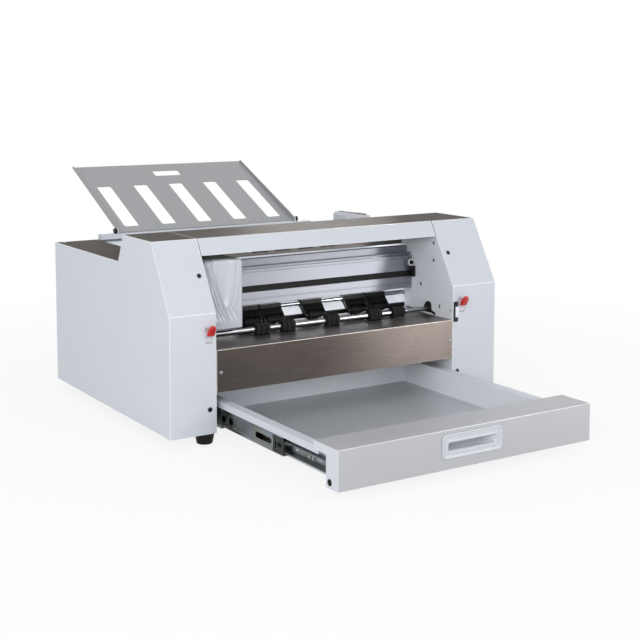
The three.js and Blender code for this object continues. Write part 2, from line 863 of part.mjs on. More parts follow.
const addDriveRoller = () => {
  const lands = pinchX.flatMap((x) => [
    [driveNeckRadius, x - pinchWidth / 2 - driveLandMargin],
    [driveRadius, x - pinchWidth / 2 - driveLandMargin],
    [driveRadius, x + pinchWidth / 2 + driveLandMargin],
    [driveNeckRadius, x + pinchWidth / 2 + driveLandMargin],
  ]);
  const left = openLeft - plateSheet;
  const right = openRight + plateSheet + fitGap;
  const profile = [[0, left], [driveNeckRadius, left], ...lands, [driveNeckRadius, right], [0, right]];
  place('drive_roller', turnedX(profile, driveSetback, driveAxisHeight), steel);
  const motor = box(
    right + fitGap, right + fitGap + motorLength,
    driveSetback - motorSide / 2, driveSetback + motorSide / 2,
    driveAxisHeight - motorSide / 2, driveAxisHeight + motorSide / 2,
  );
  place('feed_motor', motor, blackPlastic);
};

// Pinch frame: a lift shaft with five forks, and a roller in each fork
const addPinchRollers = () => {
  const pieces = [
    rodX(liftShaftRadius, openLeft - plateSheet, openRight + plateSheet, liftSetback, liftHeight, smallSides),
  ];
  const reach = Math.hypot(liftSetback - driveSetback, liftHeight - pinchAxisHeight);
  const lean = Math.atan2(liftHeight - pinchAxisHeight, liftSetback - driveSetback);
  const gap = pinchWidth / 2 + fitGap;
  const holes = [];
  const alongArm = (geometry, x, distance) => geometry.rotateX(lean).translate(
    x, liftSetback - distance * Math.cos(lean), liftHeight - distance * Math.sin(lean),
  );
  for (const x of pinchX) {
    for (const side of [-1, 1]) {
      const inner = x + side * gap;
      const outer = x + side * (gap + cheekThickness);
      const x0 = Math.min(inner, outer);
      const x1 = Math.max(inner, outer);
      const arm = new THREE.BoxGeometry(cheekThickness, reach, 2 * cheekRadius);
      pieces.push(alongArm(arm, (x0 + x1) / 2, reach / 2));
      pieces.push(rodX(cheekRadius, x0, x1, driveSetback, pinchAxisHeight, smallSides));
    }
    const half = gap + cheekThickness;
    const web = new THREE.BoxGeometry(2 * half, liftWebLength, 2 * cheekRadius);
    pieces.push(alongArm(web, x, liftWebLength / 2));
    pieces.push(box(
      x - half, x + half,
      liftSetback - liftBlockDepth / 2, liftSetback + liftBlockDepth / 2,
      liftHeight - liftBlockHeight / 2, liftHeight + liftBlockHeight / 2,
    ));
    holes.push(rodX(
      pinchPinRadius + fitGap, x - half - overrun, x + half + overrun,
      driveSetback, pinchAxisHeight, smallSides,
    ));
  }
  place('pinch_frame', cut(join(pieces), holes), blackPlastic);
  pinchX.forEach((x, i) => {
    const half = pinchWidth / 2;
    const end = half + pinchPinReach;
    const profile = [
      [0, x - end],
      [pinchPinRadius, x - end],
      [pinchPinRadius, x - half],
      [pinchRadius, x - half],
      [pinchRadius, x + half],
      [pinchPinRadius, x + half],
      [pinchPinRadius, x + end],
      [0, x + end],
    ];
    place(`pinch_roller_${i + 1}`, turnedX(profile, driveSetback, pinchAxisHeight), rubber);
  });
};

// Feed ramp between the frame plates, with a guide over its foot and the pickup roller over it
const rampSlope = (rampRearHeight - rampFrontHeight) / (rampRear - rampFront);
const rampNormal = Math.hypot(1, rampSlope);
const rampAt = (y) => rampFrontHeight + (y - rampFront) * rampSlope;
const pickupAxisHeight = rampAt(pickupSetback) + (pickupRadius + fitGap) * rampNormal;

const addFeed = () => {
  const line = [[rampRear, rampRearHeight], [rampFront, rampFrontHeight]];
  const ramp = alongX(bentSheet(line, rampThickness), openLeft + fitGap, openRight - fitGap);
  place('feed_ramp', ramp, paint);
  const guide = box(
    openLeft + fitGap, openRight - fitGap, guideSetback, guideSetback + guideDepth,
    guideBottom, guideBottom + guideHeight,
  );
  place('infeed_guide', guide, blackPlastic);
  const tyres = [openCentre - pickupReach, openCentre + pickupReach].flatMap((x) => [
    [pickupShaftRadius, x - pickupWidth / 2],
    [pickupRadius, x - pickupWidth / 2],
    [pickupRadius, x + pickupWidth / 2],
    [pickupShaftRadius, x + pickupWidth / 2],
  ]);
  const left = openLeft - plateSheet;
  const right = openRight + plateSheet;
  const profile = [[0, left], [pickupShaftRadius, left], ...tyres, [pickupShaftRadius, right], [0, right]];
  place('pickup_roller', turnedX(profile, pickupSetback, pickupAxisHeight), rubber);
};

// Tray bar across the rear, with an ear for each tray bolt
const trayLeft = openCentre - trayWidth / 2;
const trayRight = openCentre + trayWidth / 2;

const addTrayBar = () => {
  const y0 = trayPivotSetback - barDepth / 2;
  const y1 = trayPivotSetback + barDepth / 2;
  const z0 = deckHeight + fitGap;
  const pieces = [box(trayLeft - barOverhang, trayRight + barOverhang, y0, y1, z0, z0 + barHeight)];
  const holes = [];
  for (const [side, x] of [[-1, trayLeft], [1, trayRight]]) {
    const near = x + side * runGap;
    const far = near + side * trayEar;
    const x0 = Math.min(near, far);
    const x1 = Math.max(near, far);
    pieces.push(box(
      x0, x1, trayPivotSetback - trayNoseRadius, trayPivotSetback + trayNoseRadius,
      z0 + barHeight / 2, trayPivotHeight,
    ));
    pieces.push(rodX(trayNoseRadius, x0, x1, trayPivotSetback, trayPivotHeight, smallSides));
    holes.push(rodX(
      trayPinRadius + fitGap, x0 - overrun, x1 + overrun, trayPivotSetback, trayPivotHeight, smallSides,
    ));
  }
  place('tray_bar', cut(join(pieces), holes), paint);
};

// Feed tray: drawn flat about its pivot, with y along its length, then leaned back
const addTray = () => {
  const half = trayWidth / 2;
  const plate = roundedRect(-half, half, -trayOverhang, trayLength, traySheet);
  for (const share of traySlotPitchShares) {
    const x = share * traySlotReach;
    plate.holes.push(roundedRect(
      x - traySlotWidth / 2, x + traySlotWidth / 2,
      traySlotStart, traySlotStart + traySlotLength, traySlotCorner,
    ));
  }
  plate.holes.push(roundedRect(
    -trayGripWidth / 2, trayGripWidth / 2, trayGripStart, trayGripStart + trayGripHeight, traySlotCorner,
  ));
  const low = -trayDrop - traySheet;
  const pieces = [alongZ(plate, low, -trayDrop)];
  const flange = [
    [-trayOverhang, low],
    [trayLength, low],
    [trayLength, low + trayFlangeLow],
    [trayNoseLength, low + trayFlangeHigh],
    [0, trayNoseRadius],
    [-trayOverhang, trayOverhang],
  ];
  for (const side of [-1, 1]) {
    const outer = side * half;
    const inner = outer - side * traySheet;
    pieces.push(alongX(flange, Math.min(outer, inner), Math.max(outer, inner)));
    const earFar = outer + side * (runGap + trayEar + fitGap);
    const pin = [outer - side * traySheet / 2, earFar + side * trayBoltLength / 2];
    pieces.push(rodX(trayPinRadius, Math.min(...pin), Math.max(...pin), 0, 0, smallSides));
    const head = [earFar, earFar + side * trayBoltLength];
    pieces.push(rodX(trayBoltRadius, Math.min(...head), Math.max(...head), 0, 0, smallSides));
  }
  const tray = place('feed_tray', join(pieces), silver);
  tray.position.set(openCentre, trayPivotSetback, trayPivotHeight);
  tray.rotation.x = trayTurn;
};

// Drawer: a folded box with outward hems, a deep folded front and a recessed pull
const fromEdge = (edge, side) => (near, far) => {
  return [Math.min(edge + side * near, edge + side * far), Math.max(edge + side * near, edge + side * far)];
};

const addDrawer = () => {
  const y0 = drawerFace + drawerFrontDepth + fitGap;
  const y1 = drawerBack;
  const z0 = drawerFloorHeight;
  const left = openLeft + wallNear;
  const right = openRight - wallNear;
  const frontTop = drawerFrontHeight - drawerSheet;
  const hem = drawerSideGap + drawerHemInset;
  const low = drawerWallTop - drawerLipDrop;
  const line = [
    [openLeft + hem, low],
    [openLeft + hem, drawerWallTop],
    [left + drawerSheet, drawerWallTop],
    [left + drawerSheet, z0 + drawerSheet],
    [right - drawerSheet, z0 + drawerSheet],
    [right - drawerSheet, drawerWallTop],
    [openRight - hem, drawerWallTop],
    [openRight - hem, low],
  ];
  const section = bentSheet(line.reverse(), drawerSheet);
  const pieces = [
    alongY(section, y0, y1),
    box(left + fitGap, right - fitGap, y0, y0 + drawerSheet, z0 + fitGap, frontTop),
    box(left + fitGap, right - fitGap, y1 - drawerSheet, y1, z0 + fitGap, drawerWallTop - fitGap),
  ];
  place('drawer_box', join(pieces), paint);
  const back = drawerFace + drawerFrontDepth;
  const body = box(drawerLeft, drawerRight, drawerFace, back, 0, drawerFrontHeight);
  const hollow = box(
    drawerLeft + drawerSheet, drawerRight - drawerSheet, drawerFace + drawerSheet, back - drawerSheet,
    drawerSheet, drawerFrontHeight - drawerSheet,
  );
  const cheekCut = box(
    drawerLeft - overrun, drawerRight + overrun, drawerFace + drawerCheekDepth, back + overrun,
    -overrun, drawerCheekTop,
  );
  const pullCut = box(
    openCentre - pullWidth / 2 + pullBodyInset - fitGap, openCentre + pullWidth / 2 - pullBodyInset + fitGap,
    drawerFace - overrun, drawerFace + drawerSheet + overrun,
    pullRise + pullBodyInset - fitGap, pullRise + pullHeight - pullBodyInset + fitGap,
  );
  place('drawer_front', cut(body, [hollow, cheekCut, pullCut]), silver);
};

const addPull = () => {
  const x0 = openCentre - pullWidth / 2;
  const x1 = openCentre + pullWidth / 2;
  const z1 = pullRise + pullHeight;
  const plate = alongY(
    roundedRect(x0, x1, pullRise, z1, pullCorner), drawerFace - fitGap - pullFlange, drawerFace - fitGap,
  );
  const body = box(
    x0 + pullBodyInset, x1 - pullBodyInset, drawerFace - fitGap - pullFlange / 2, drawerFace + pullDepth,
    pullRise + pullBodyInset, z1 - pullBodyInset,
  );
  const mouth = box(
    x0 + pullSlotInset, x1 - pullSlotInset, drawerFace - overrun, drawerFace + pullDepth - pullWall,
    pullRise + pullSlotRise, pullRise + pullSlotRise + pullSlotHeight,
  );
  const grip = box(
    x0 + pullSlotInset, x1 - pullSlotInset, drawerFace + pullFlange + pullWall,
    drawerFace + pullDepth - pullWall, pullRise + pullBodyInset + pullWall, z1 - pullBodyInset - pullWall,
  );
  place('drawer_pull', cut(join([plate, body]), [mouth, grip]), moulded);
};

// Slides: three nested channels on each side, the outer one on spacers off the frame plate
const addSlides = () => {
  const innerFront = drawerFace + slideInnerSetback;
  const middleFront = slideSetback - slideMiddleShare * drawerTravel;
  for (const [name, side, edge] of [['left', 1, openLeft], ['right', -1, openRight]]) {
    const span = fromEdge(edge, side);
    const channel = (near, far, tip, half, y0) => {
      const z0 = slideAxisHeight - half;
      const z1 = slideAxisHeight + half;
      const y1 = y0 + slideLength;
      const wide = span(Math.min(near, tip), Math.max(far, tip));
      return [
        box(...span(near, far), y0, y1, z0, z1),
        box(...wide, y0, y1, z0, z0 + slideSheet),
        box(...wide, y0, y1, z1 - slideSheet, z1),
      ];
    };
    const middleNear = slideNear + slideSheet + fitGap;
    const innerNear = middleNear + slideSheet + fitGap;
    const innerFar = slideNear + slideThickness;
    const tip = innerFar - slideSheet;
    const spacers = spacerShares.map((share) => {
      const y = slideSetback + share * slideLength;
      return box(
        ...span(fitGap, slideNear + slideSheet / 2), y - spacerLength / 2, y + spacerLength / 2,
        slideAxisHeight - spacerHeight / 2, slideAxisHeight + spacerHeight / 2,
      );
    });
    const outer = channel(slideNear, slideNear + slideSheet, tip, slideOuterHalf, slideSetback);
    const middle = channel(middleNear, middleNear + slideSheet, tip, slideMiddleHalf, middleFront);
    const inner = channel(innerFar - slideSheet, innerFar, innerNear, slideInnerHalf, innerFront);
    place(`${name}_slide_outer`, join([...outer, ...spacers]), zinc);
    place(`${name}_slide_middle`, join(middle), zinc);
    place(`${name}_slide_inner`, join(inner), zinc);
  }
};

// Release levers: an arm that leans out of a slot in the cover, on a pin in the frame plate
const addLevers = () => {
  const grip = stadium(0, leverReach, 0, leverThickness / 2);
  const ends = {
    left: [leverX.left + leverWidth / 2 - leverPinRadius, openLeft],
    right: [openRight, leverX.right - leverWidth / 2 + leverPinRadius],
  };
  for (const name of ['left', 'right']) {
    const x = leverX[name];
    const arm = flatExtrude(grip, leverWidth).translate(0, 0, -leverWidth / 2);
    arm.rotateZ(Math.PI / 2 + THREE.MathUtils.degToRad(leverLean));
    arm.applyMatrix4(new THREE.Matrix4().set(0, 0, 1, x, 1, 0, 0, leverSetback, 0, 1, 0, leverHeight, 0, 0, 0, 1));
    const half = leverWidth / 2;
    const boss = rodX(leverBossRadius, x - half, x + half, leverSetback, leverHeight, smallSides);
    const pin = rodX(leverPinRadius, ...ends[name], leverSetback, leverHeight, smallSides);
    place(`${name}_release_lever`, join([arm, boss, pin]), red);
  }
};

const addSensor = () => {
  const near = openRight + plateSheet + fitGap;
  const geometry = box(
    near, near + sensorWidth, 0, sensorDepth, sensorBottom, sensorBottom + sensorHeight,
  );
  place('edge_sensor', geometry, blackPlastic);
};

// Control pod: a small hollow housing on the deck, with a touch panel let into its top
const addControls = () => {
  const base = deckHeight + fitGap;
  const front = [
    [podLeft, base],
    [podRight, base],
    [podRight, base + podLowSide],
    [podLeft + podChamfer, base + podHighSide],
    [podLeft, base + podHighSide - podChamfer],
  ];
  const inside = drawnIn(front, podWall);
  inside[0][1] = base - overrun;
  inside[1][1] = base - overrun;
  const y0 = podSetback;
  const y1 = podSetback + podDepth;
  const body = cut(alongY(front, y0, y1), [alongY(inside, y0 + podWall, y1 - podWall)]);
  const run = podWidth - podChamfer;
  const slope = Math.atan2(podHighSide - podLowSide, run);
  const middle = podLeft + podChamfer + run / 2;
  const tilt = (geometry) => {
    return geometry.rotateY(slope).translate(middle, (y0 + y1) / 2, base + (podHighSide + podLowSide) / 2);
  };
  const halfX = run / 2 - panelMargin;
  const halfY = podDepth / 2 - panelMargin;
  const sink = podWall + overrun;
  const window = tilt(box(-halfX - fitGap, halfX + fitGap, -halfY - fitGap, halfY + fitGap, -sink, overrun));
  place('control_pod', cut(body, [window]), moulded);
  const panel = box(-halfX, halfX, -halfY, halfY, panelProud - panelThickness, panelProud);
  place('touch_panel', tilt(panel), blackPlastic);
};

// Mains inlet with a rocker switch above it, in the rear of the left cover
const addElectrics = () => {
  const x0 = inletLeft;
  const x1 = inletLeft + inletWidth;
  const xm = (x0 + x1) / 2;
  const z0 = inletRise;
  const z1 = inletRise + inletHeight;
  const outside = housingDepth + fitGap + inletFlange;
  const flange = box(x0, x1, housingDepth + fitGap, outside, z0, z1);
  const body = box(
    x0 + inletMargin, x1 - inletMargin, housingDepth - inletDepth, outside - inletFlange / 2,
    z0 + inletMargin, z1 - inletMargin,
  );
  const socket = box(
    xm - socketWidth / 2, xm + socketWidth / 2, outside - socketDepth, outside + overrun,
    z0 + socketRise, z0 + socketRise + socketHeight,
  );
  const switchWell = box(
    xm - switchWidth / 2 - fitGap, xm + switchWidth / 2 + fitGap, outside - switchDepth - runGap, outside + overrun,
    z0 + switchRise - fitGap, z0 + switchRise + switchHeight + fitGap,
  );
  const switchZ = z0 + switchRise + switchHeight / 2;
  const switchY = outside - switchDepth / 2;
  const pinHole = rodX(
    switchPinRadius + fitGap, xm - switchWidth / 2 - 2 * fitGap - inletMargin / 2,
    xm + switchWidth / 2 + 2 * fitGap + inletMargin / 2, switchY, switchZ, smallSides,
  );
  place('power_inlet', cut(join([flange, body]), [socket, switchWell, pinHole]), blackPlastic);
  const rocker = [
    [outside - switchDepth / 2 - switchPinRadius, switchZ - switchPinRadius],
    [outside, z0 + switchRise + fitGap],
    [outside + switchProud, z0 + switchRise + switchHeight - fitGap],
    [outside - switchDepth / 2 - switchPinRadius, switchZ + switchPinRadius],
  ];
  const pin = rodX(
    switchPinRadius, xm - switchWidth / 2 - inletMargin / 2, xm + switchWidth / 2 + inletMargin / 2,
    switchY, switchZ, smallSides,
  );
  const rockerBody = alongX(rocker, xm - switchWidth / 2, xm + switchWidth / 2);
  place('power_switch', join([rockerBody, pin]), blackPlastic);
  const boardX = openRight + plateSheet + fitGap;
  const card = box(
    boardX + boardStandoff, boardX + boardStandoff + boardThickness,
    boardSetback, boardSetback + boardLength, boardRise, boardRise + boardHeight,
  );
  const posts = [boardSetback + boardStandoff, boardSetback + boardLength - boardStandoff].flatMap((y) => {
    return [boardRise + boardStandoff, boardRise + boardHeight - boardStandoff].map((z) => {
      return rodX(standoffRadius, boardX, boardX + boardStandoff + boardThickness / 2, y, z, smallSides);
    });
  });
  place('control_board', join([card, ...posts]), board);
  const supplyX = (sheet + openLeft - plateSheet) / 2;
  const supply = box(
    supplyX - supplyWidth / 2, supplyX + supplyWidth / 2, supplySetback, supplySetback + supplyLength,
    insideGap, insideGap + supplyHeight,
  );
  place('power_supply', supply, zinc);
};

addBase();
addCovers();
addTopSheets();
addHeader();
addFramePlates();
addRearPanel();
addCrossMember();
addExitTable();
addExitRollers();
addBeam();
addBeltDrive();
addCarriage();
addDriveRoller();
addPinchRollers();
addFeed();
addTrayBar();
addTray();
addDrawer();
addPull();
addSlides();
addLevers();
addSensor();
addControls();
addElectrics();

// The machine's own box, front to back, and its place over the origin
const frontReach = drawerFace - fitGap - pullFlange;
const rearReach = trayPivotSetback + trayLength * Math.cos(trayTurn) + (trayDrop + traySheet) * Math.sin(trayTurn);
machine.position.set(-housingWidth / 2, -(frontReach + rearReach) / 2, footHeight);

export default machine;
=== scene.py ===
"""Looks of the desktop die cutter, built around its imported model.

Lengths are millimetres in the housing's own layout: +X right, +Y back, +Z up, from the left,
front, bottom corner of the housing. at() turns them into the frame's metres.
"""
import json
from itertools import product
from math import atan2, cos, hypot, pi, radians, sin, sqrt, tan, tau

import bmesh
import bpy
from mathutils import Matrix, Vector


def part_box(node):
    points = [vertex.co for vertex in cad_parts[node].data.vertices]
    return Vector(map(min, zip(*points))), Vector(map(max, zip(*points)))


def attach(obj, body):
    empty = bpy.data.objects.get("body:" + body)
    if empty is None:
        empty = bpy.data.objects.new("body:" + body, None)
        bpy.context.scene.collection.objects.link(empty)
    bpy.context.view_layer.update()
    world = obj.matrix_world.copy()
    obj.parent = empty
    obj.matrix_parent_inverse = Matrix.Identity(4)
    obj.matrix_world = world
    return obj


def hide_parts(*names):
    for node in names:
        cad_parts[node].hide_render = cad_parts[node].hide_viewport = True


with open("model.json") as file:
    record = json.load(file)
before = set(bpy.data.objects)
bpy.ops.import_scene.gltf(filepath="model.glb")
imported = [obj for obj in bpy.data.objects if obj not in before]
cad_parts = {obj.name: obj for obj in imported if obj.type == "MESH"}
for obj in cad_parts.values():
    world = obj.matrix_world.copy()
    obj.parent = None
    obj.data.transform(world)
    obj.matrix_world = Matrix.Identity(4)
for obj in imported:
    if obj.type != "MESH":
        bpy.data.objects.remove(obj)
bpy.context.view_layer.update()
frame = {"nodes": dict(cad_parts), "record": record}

MM = 0.001
HOUSING_WIDTH = 640
FOOT_HEIGHT = 17.5
DEPTH_CENTRE = 176.524
OPEN_LEFT, OPEN_RIGHT = 80, 545
MIDDLE_X = (OPEN_LEFT + OPEN_RIGHT) / 2

BODY_OF = {n: b for b, ns in frame["record"]["behaviour"]["bodies"].items() for n in ns}
SLOT_OF = {s["node"]: s["material_slot"] for s in frame["record"]["subparts"]}


def at(x, y, z):
    """A point of the housing's layout, in the frame's metres."""
    return Vector(((x - HOUSING_WIDTH / 2) * MM, (y - DEPTH_CENTRE) * MM, (z + FOOT_HEIGHT) * MM))


TO_FRAME = Matrix.Translation(at(0, 0, 0)) @ Matrix.Scale(MM, 4)
TO_LAYOUT = TO_FRAME.inverted()


def in_layout(box):
    """The low and high corners of a box of the frame, in the housing's layout."""
    return [TO_LAYOUT @ corner for corner in box]


def linear(colour):
    """An sRGB hex colour as linear RGBA."""
    channels = [int(colour[i:i + 2], 16) / 255 for i in (1, 3, 5)]
    return [c / 12.92 if c <= 0.04045 else ((c + 0.055) / 1.055) ** 2.4 for c in channels] + [1.0]


def add_object(name, data):
    made = bpy.data.objects.new(name, data)
    bpy.context.scene.collection.objects.link(made)
    return made


# ---- stage ----

def empty_tree(owner):
    """The shader tree of a world or material, cleared."""
    owner.use_nodes = True
    owner.node_tree.nodes.clear()
    return owner.node_tree


def add_node(tree, kind, settings=None, **inputs):
    """Adds a shader node; an input is a socket to link, a node to link from, or a value to set."""
    made = tree.nodes.new("ShaderNode" + kind)
    for key, value in (settings or {}).items():
        setattr(made, key, value)
    for key, value in inputs.items():
        name = key.replace("_", " ")
        socket = made.inputs[int(name[1:])] if name[0] == "i" and name[1:].isdigit() else made.inputs[name]
        if isinstance(value, bpy.types.Node):
            value = value.outputs[0]
        if isinstance(value, bpy.types.NodeSocket):
            tree.links.new(value, socket)
        else:
            socket.default_value = value
    return made


def build_camera():
    """The photograph's viewpoint: 6 degrees of downward tilt and a small vertical shift."""
    data = bpy.data.cameras.new("camera")
    camera = add_object("camera", data)
    focal_px, frame_px, shift_px = 1253.27, 640, 120
    yaw, tilt = 0.5656, 0.0959
    data.sensor_width = 36
    data.lens = focal_px / frame_px * data.sensor_width
    data.shift_y = -shift_px / frame_px
    camera.location = at(-808.99, -1700.03, 549.30)
    camera.rotation_euler = (pi / 2 - tilt, 0, -yaw)
    data.clip_start, data.clip_end = 0.05, 60
    bpy.context.scene.camera = camera


def seen_directly(tree):
    """1 for rays from the camera, off glossy surfaces and through clear ones, else 0."""
    path = add_node(tree, "LightPath")
    seen = path.outputs["Is Camera Ray"]
    for other in ("Is Glossy Ray", "Is Transmission Ray"):
        seen = add_node(tree, "Math", {"operation": "MAXIMUM"}, i0=seen, i1=path.outputs[other])
    return seen


def build_world():
    """Pure white where it is seen, a little darker and cooler as a light."""
    world = bpy.data.worlds.new("studio")
    bpy.context.scene.world = world
    tree = empty_tree(world)
    soft = add_node(tree, "Background", Color=linear("#f2f5fa"), Strength=0.6)
    white = add_node(tree, "Background", Color=(1, 1, 1, 1), Strength=1.0)
    mixed = add_node(tree, "MixShader", i0=seen_directly(tree), i1=soft, i2=white)
    add_node(tree, "OutputWorld", Surface=mixed)


def build_floor():
    """A white floor that keeps the soft shadow of the machine and fades into the white backdrop."""
    half = 12
    mesh = bpy.data.meshes.new("floor")
    corners = [(-half, -half, 0), (half, -half, 0), (half, half, 0), (-half, half, 0)]
    mesh.from_pydata(corners, [], [(0, 1, 2, 3)])
    floor = add_object("floor", mesh)
    material = bpy.data.materials.new("white_floor")
    tree = empty_tree(material)
    coords = add_node(tree, "TexCoord")
    distance = add_node(tree, "VectorMath", {"operation": "LENGTH"}, i0=coords.outputs["Object"])
    far = add_node(tree, "MapRange", Value=distance.outputs["Value"], From_Min=0.4, From_Max=1.3,
                   To_Min=0.85, To_Max=1.0)
    share = add_node(tree, "Math", {"operation": "MULTIPLY"}, i0=far, i1=seen_directly(tree))
    paper = add_node(tree, "BsdfDiffuse", Color=linear("#fafafa"))
    glow = add_node(tree, "Emission", Color=(1, 1, 1, 1), Strength=1.0)
    mixed = add_node(tree, "MixShader", i0=share, i1=paper, i2=glow)
    add_node(tree, "OutputMaterial", Surface=mixed)
    mesh.materials.append(material)


def add_lamp(name, place, aim, width, height, watts):
    data = bpy.data.lights.new(name, "AREA")
    data.shape, data.size, data.size_y, data.energy = "RECTANGLE", width, height, watts
    lamp = add_object(name, data)
    lamp.location = place
    lamp.rotation_euler = (aim - lamp.location).to_track_quat("-Z", "Y").to_euler()
    return lamp


def build_lights():
    """Soft boxes round the machine, narrow ones that only the brushed metal mirrors, one over the ramp."""
    for name, place, width, height, watts, mirrored in (
        ("key", (-2.5, -2.1, 1.4), 1.8, 1.8, 18, False),
        ("side", (-1.5, -1.6, 0.7), 0.7, 0.7, 8, False),
        ("fill", (1.4, -2.8, 1.2), 1.8, 1.8, 15, False),
        ("top", (0.0, 0.4, 3.0), 2.2, 2.2, 6, False),
        ("near_strip", (1.71, -2.47, 0.5), 0.05, 1.6, 10, True),
        ("far_strip", (1.86, -2.36, 0.5), 0.12, 1.6, 20, True),
        ("rear_strip", (1.9, 2.9, 1.3), 0.7, 1.6, 9, True),
    ):
        lamp = add_lamp(name, place, at(312, 100, 120), width, height, watts)
        lamp.visible_diffuse = not mirrored
    hopper = add_lamp("hopper", at(312, 235, 256), at(312, 150, 135), 0.42, 0.09, 0.35)
    hopper.visible_glossy = False


# ---- finishes ----

MATERIALS = {}


def finish(name, hexes, roughness, grain=1.0, stretch=(1, 1, 1), bump=0.02, patch=90.0, patch_share=0.4,
           rough_share=0.12, brushed=None, edge=None, **sockets):
    """A surface with a grain in its bump, and broad soft patches in its colour and gloss.

    grain and patch are the sizes of the grain and of the patches, in mm; stretch draws the grain out.
    brushed is the direction of its strokes, across which reflections spread; edge is a second colour
    that paints a highlight along outer edges; sockets are constants of the shader, by the socket's name.
    """
    material = bpy.data.materials.new(name)
    tree = empty_tree(material)
    coords = add_node(tree, "TexCoord").outputs["Object"]
    drawn = add_node(tree, "Mapping", Vector=coords, Scale=[1 / s for s in stretch])
    fine = add_node(tree, "TexNoise", Vector=drawn, Scale=1 / (grain * MM), Detail=3.0)
    broad = add_node(tree, "TexNoise", Vector=coords, Scale=1 / (patch * MM), Detail=2.0)
    both = add_node(tree, "Mix", {"data_type": "FLOAT"}, i0=patch_share,
                    i2=fine.outputs["Fac"], i3=broad.outputs["Fac"])
    tint = add_node(tree, "ValToRGB", Fac=both)
    for stop, colour, place in zip(tint.color_ramp.elements, hexes, (0.32, 0.68)):
        stop.color, stop.position = linear(colour), place
    colour = tint
    geometry = add_node(tree, "NewGeometry") if edge or brushed else None
    # Paler colour where Pointiness is high: a painted highlight along outer edges
    if edge:
        edge_highlight = add_node(tree, "MapRange", Value=geometry.outputs["Pointiness"], From_Min=0.52,
                        From_Max=0.6, To_Min=0.0, To_Max=0.7)
        colour = add_node(tree, "Mix", {"data_type": "RGBA"}, i0=edge_highlight, i6=colour,
                          i7=linear(edge)).outputs[2]
    if brushed:
        across_strokes = add_node(tree, "VectorMath", {"operation": "CROSS_PRODUCT"},
                                  i0=geometry.outputs["Normal"], i1=brushed)
        sockets.update(Tangent=across_strokes, Anisotropic=0.9)
    gloss = add_node(tree, "MapRange", Value=both, From_Min=0.3, From_Max=0.7,
                     To_Min=roughness * (1 - rough_share), To_Max=roughness * (1 + rough_share))
    raised = add_node(tree, "Bump", Strength=1.0, Distance=bump * MM, Height=fine.outputs["Fac"])
    shader = add_node(tree, "BsdfPrincipled", Base_Color=colour, Roughness=gloss,
                      Normal=raised, **sockets)
    add_node(tree, "OutputMaterial", Surface=shader)
    MATERIALS[name] = material


ALONG_X = (1.0, 0.0, 0.0)
STEEL_STROKES = {"grain": 0.5, "stretch": (120, 1, 1), "bump": 0.0012, "patch": 220, "rough_share": 0.2,
                 "brushed": ALONG_X, "Metallic": 1.0}
WHITE_ABS = ("#cbcdd3", "#d1d3d8")


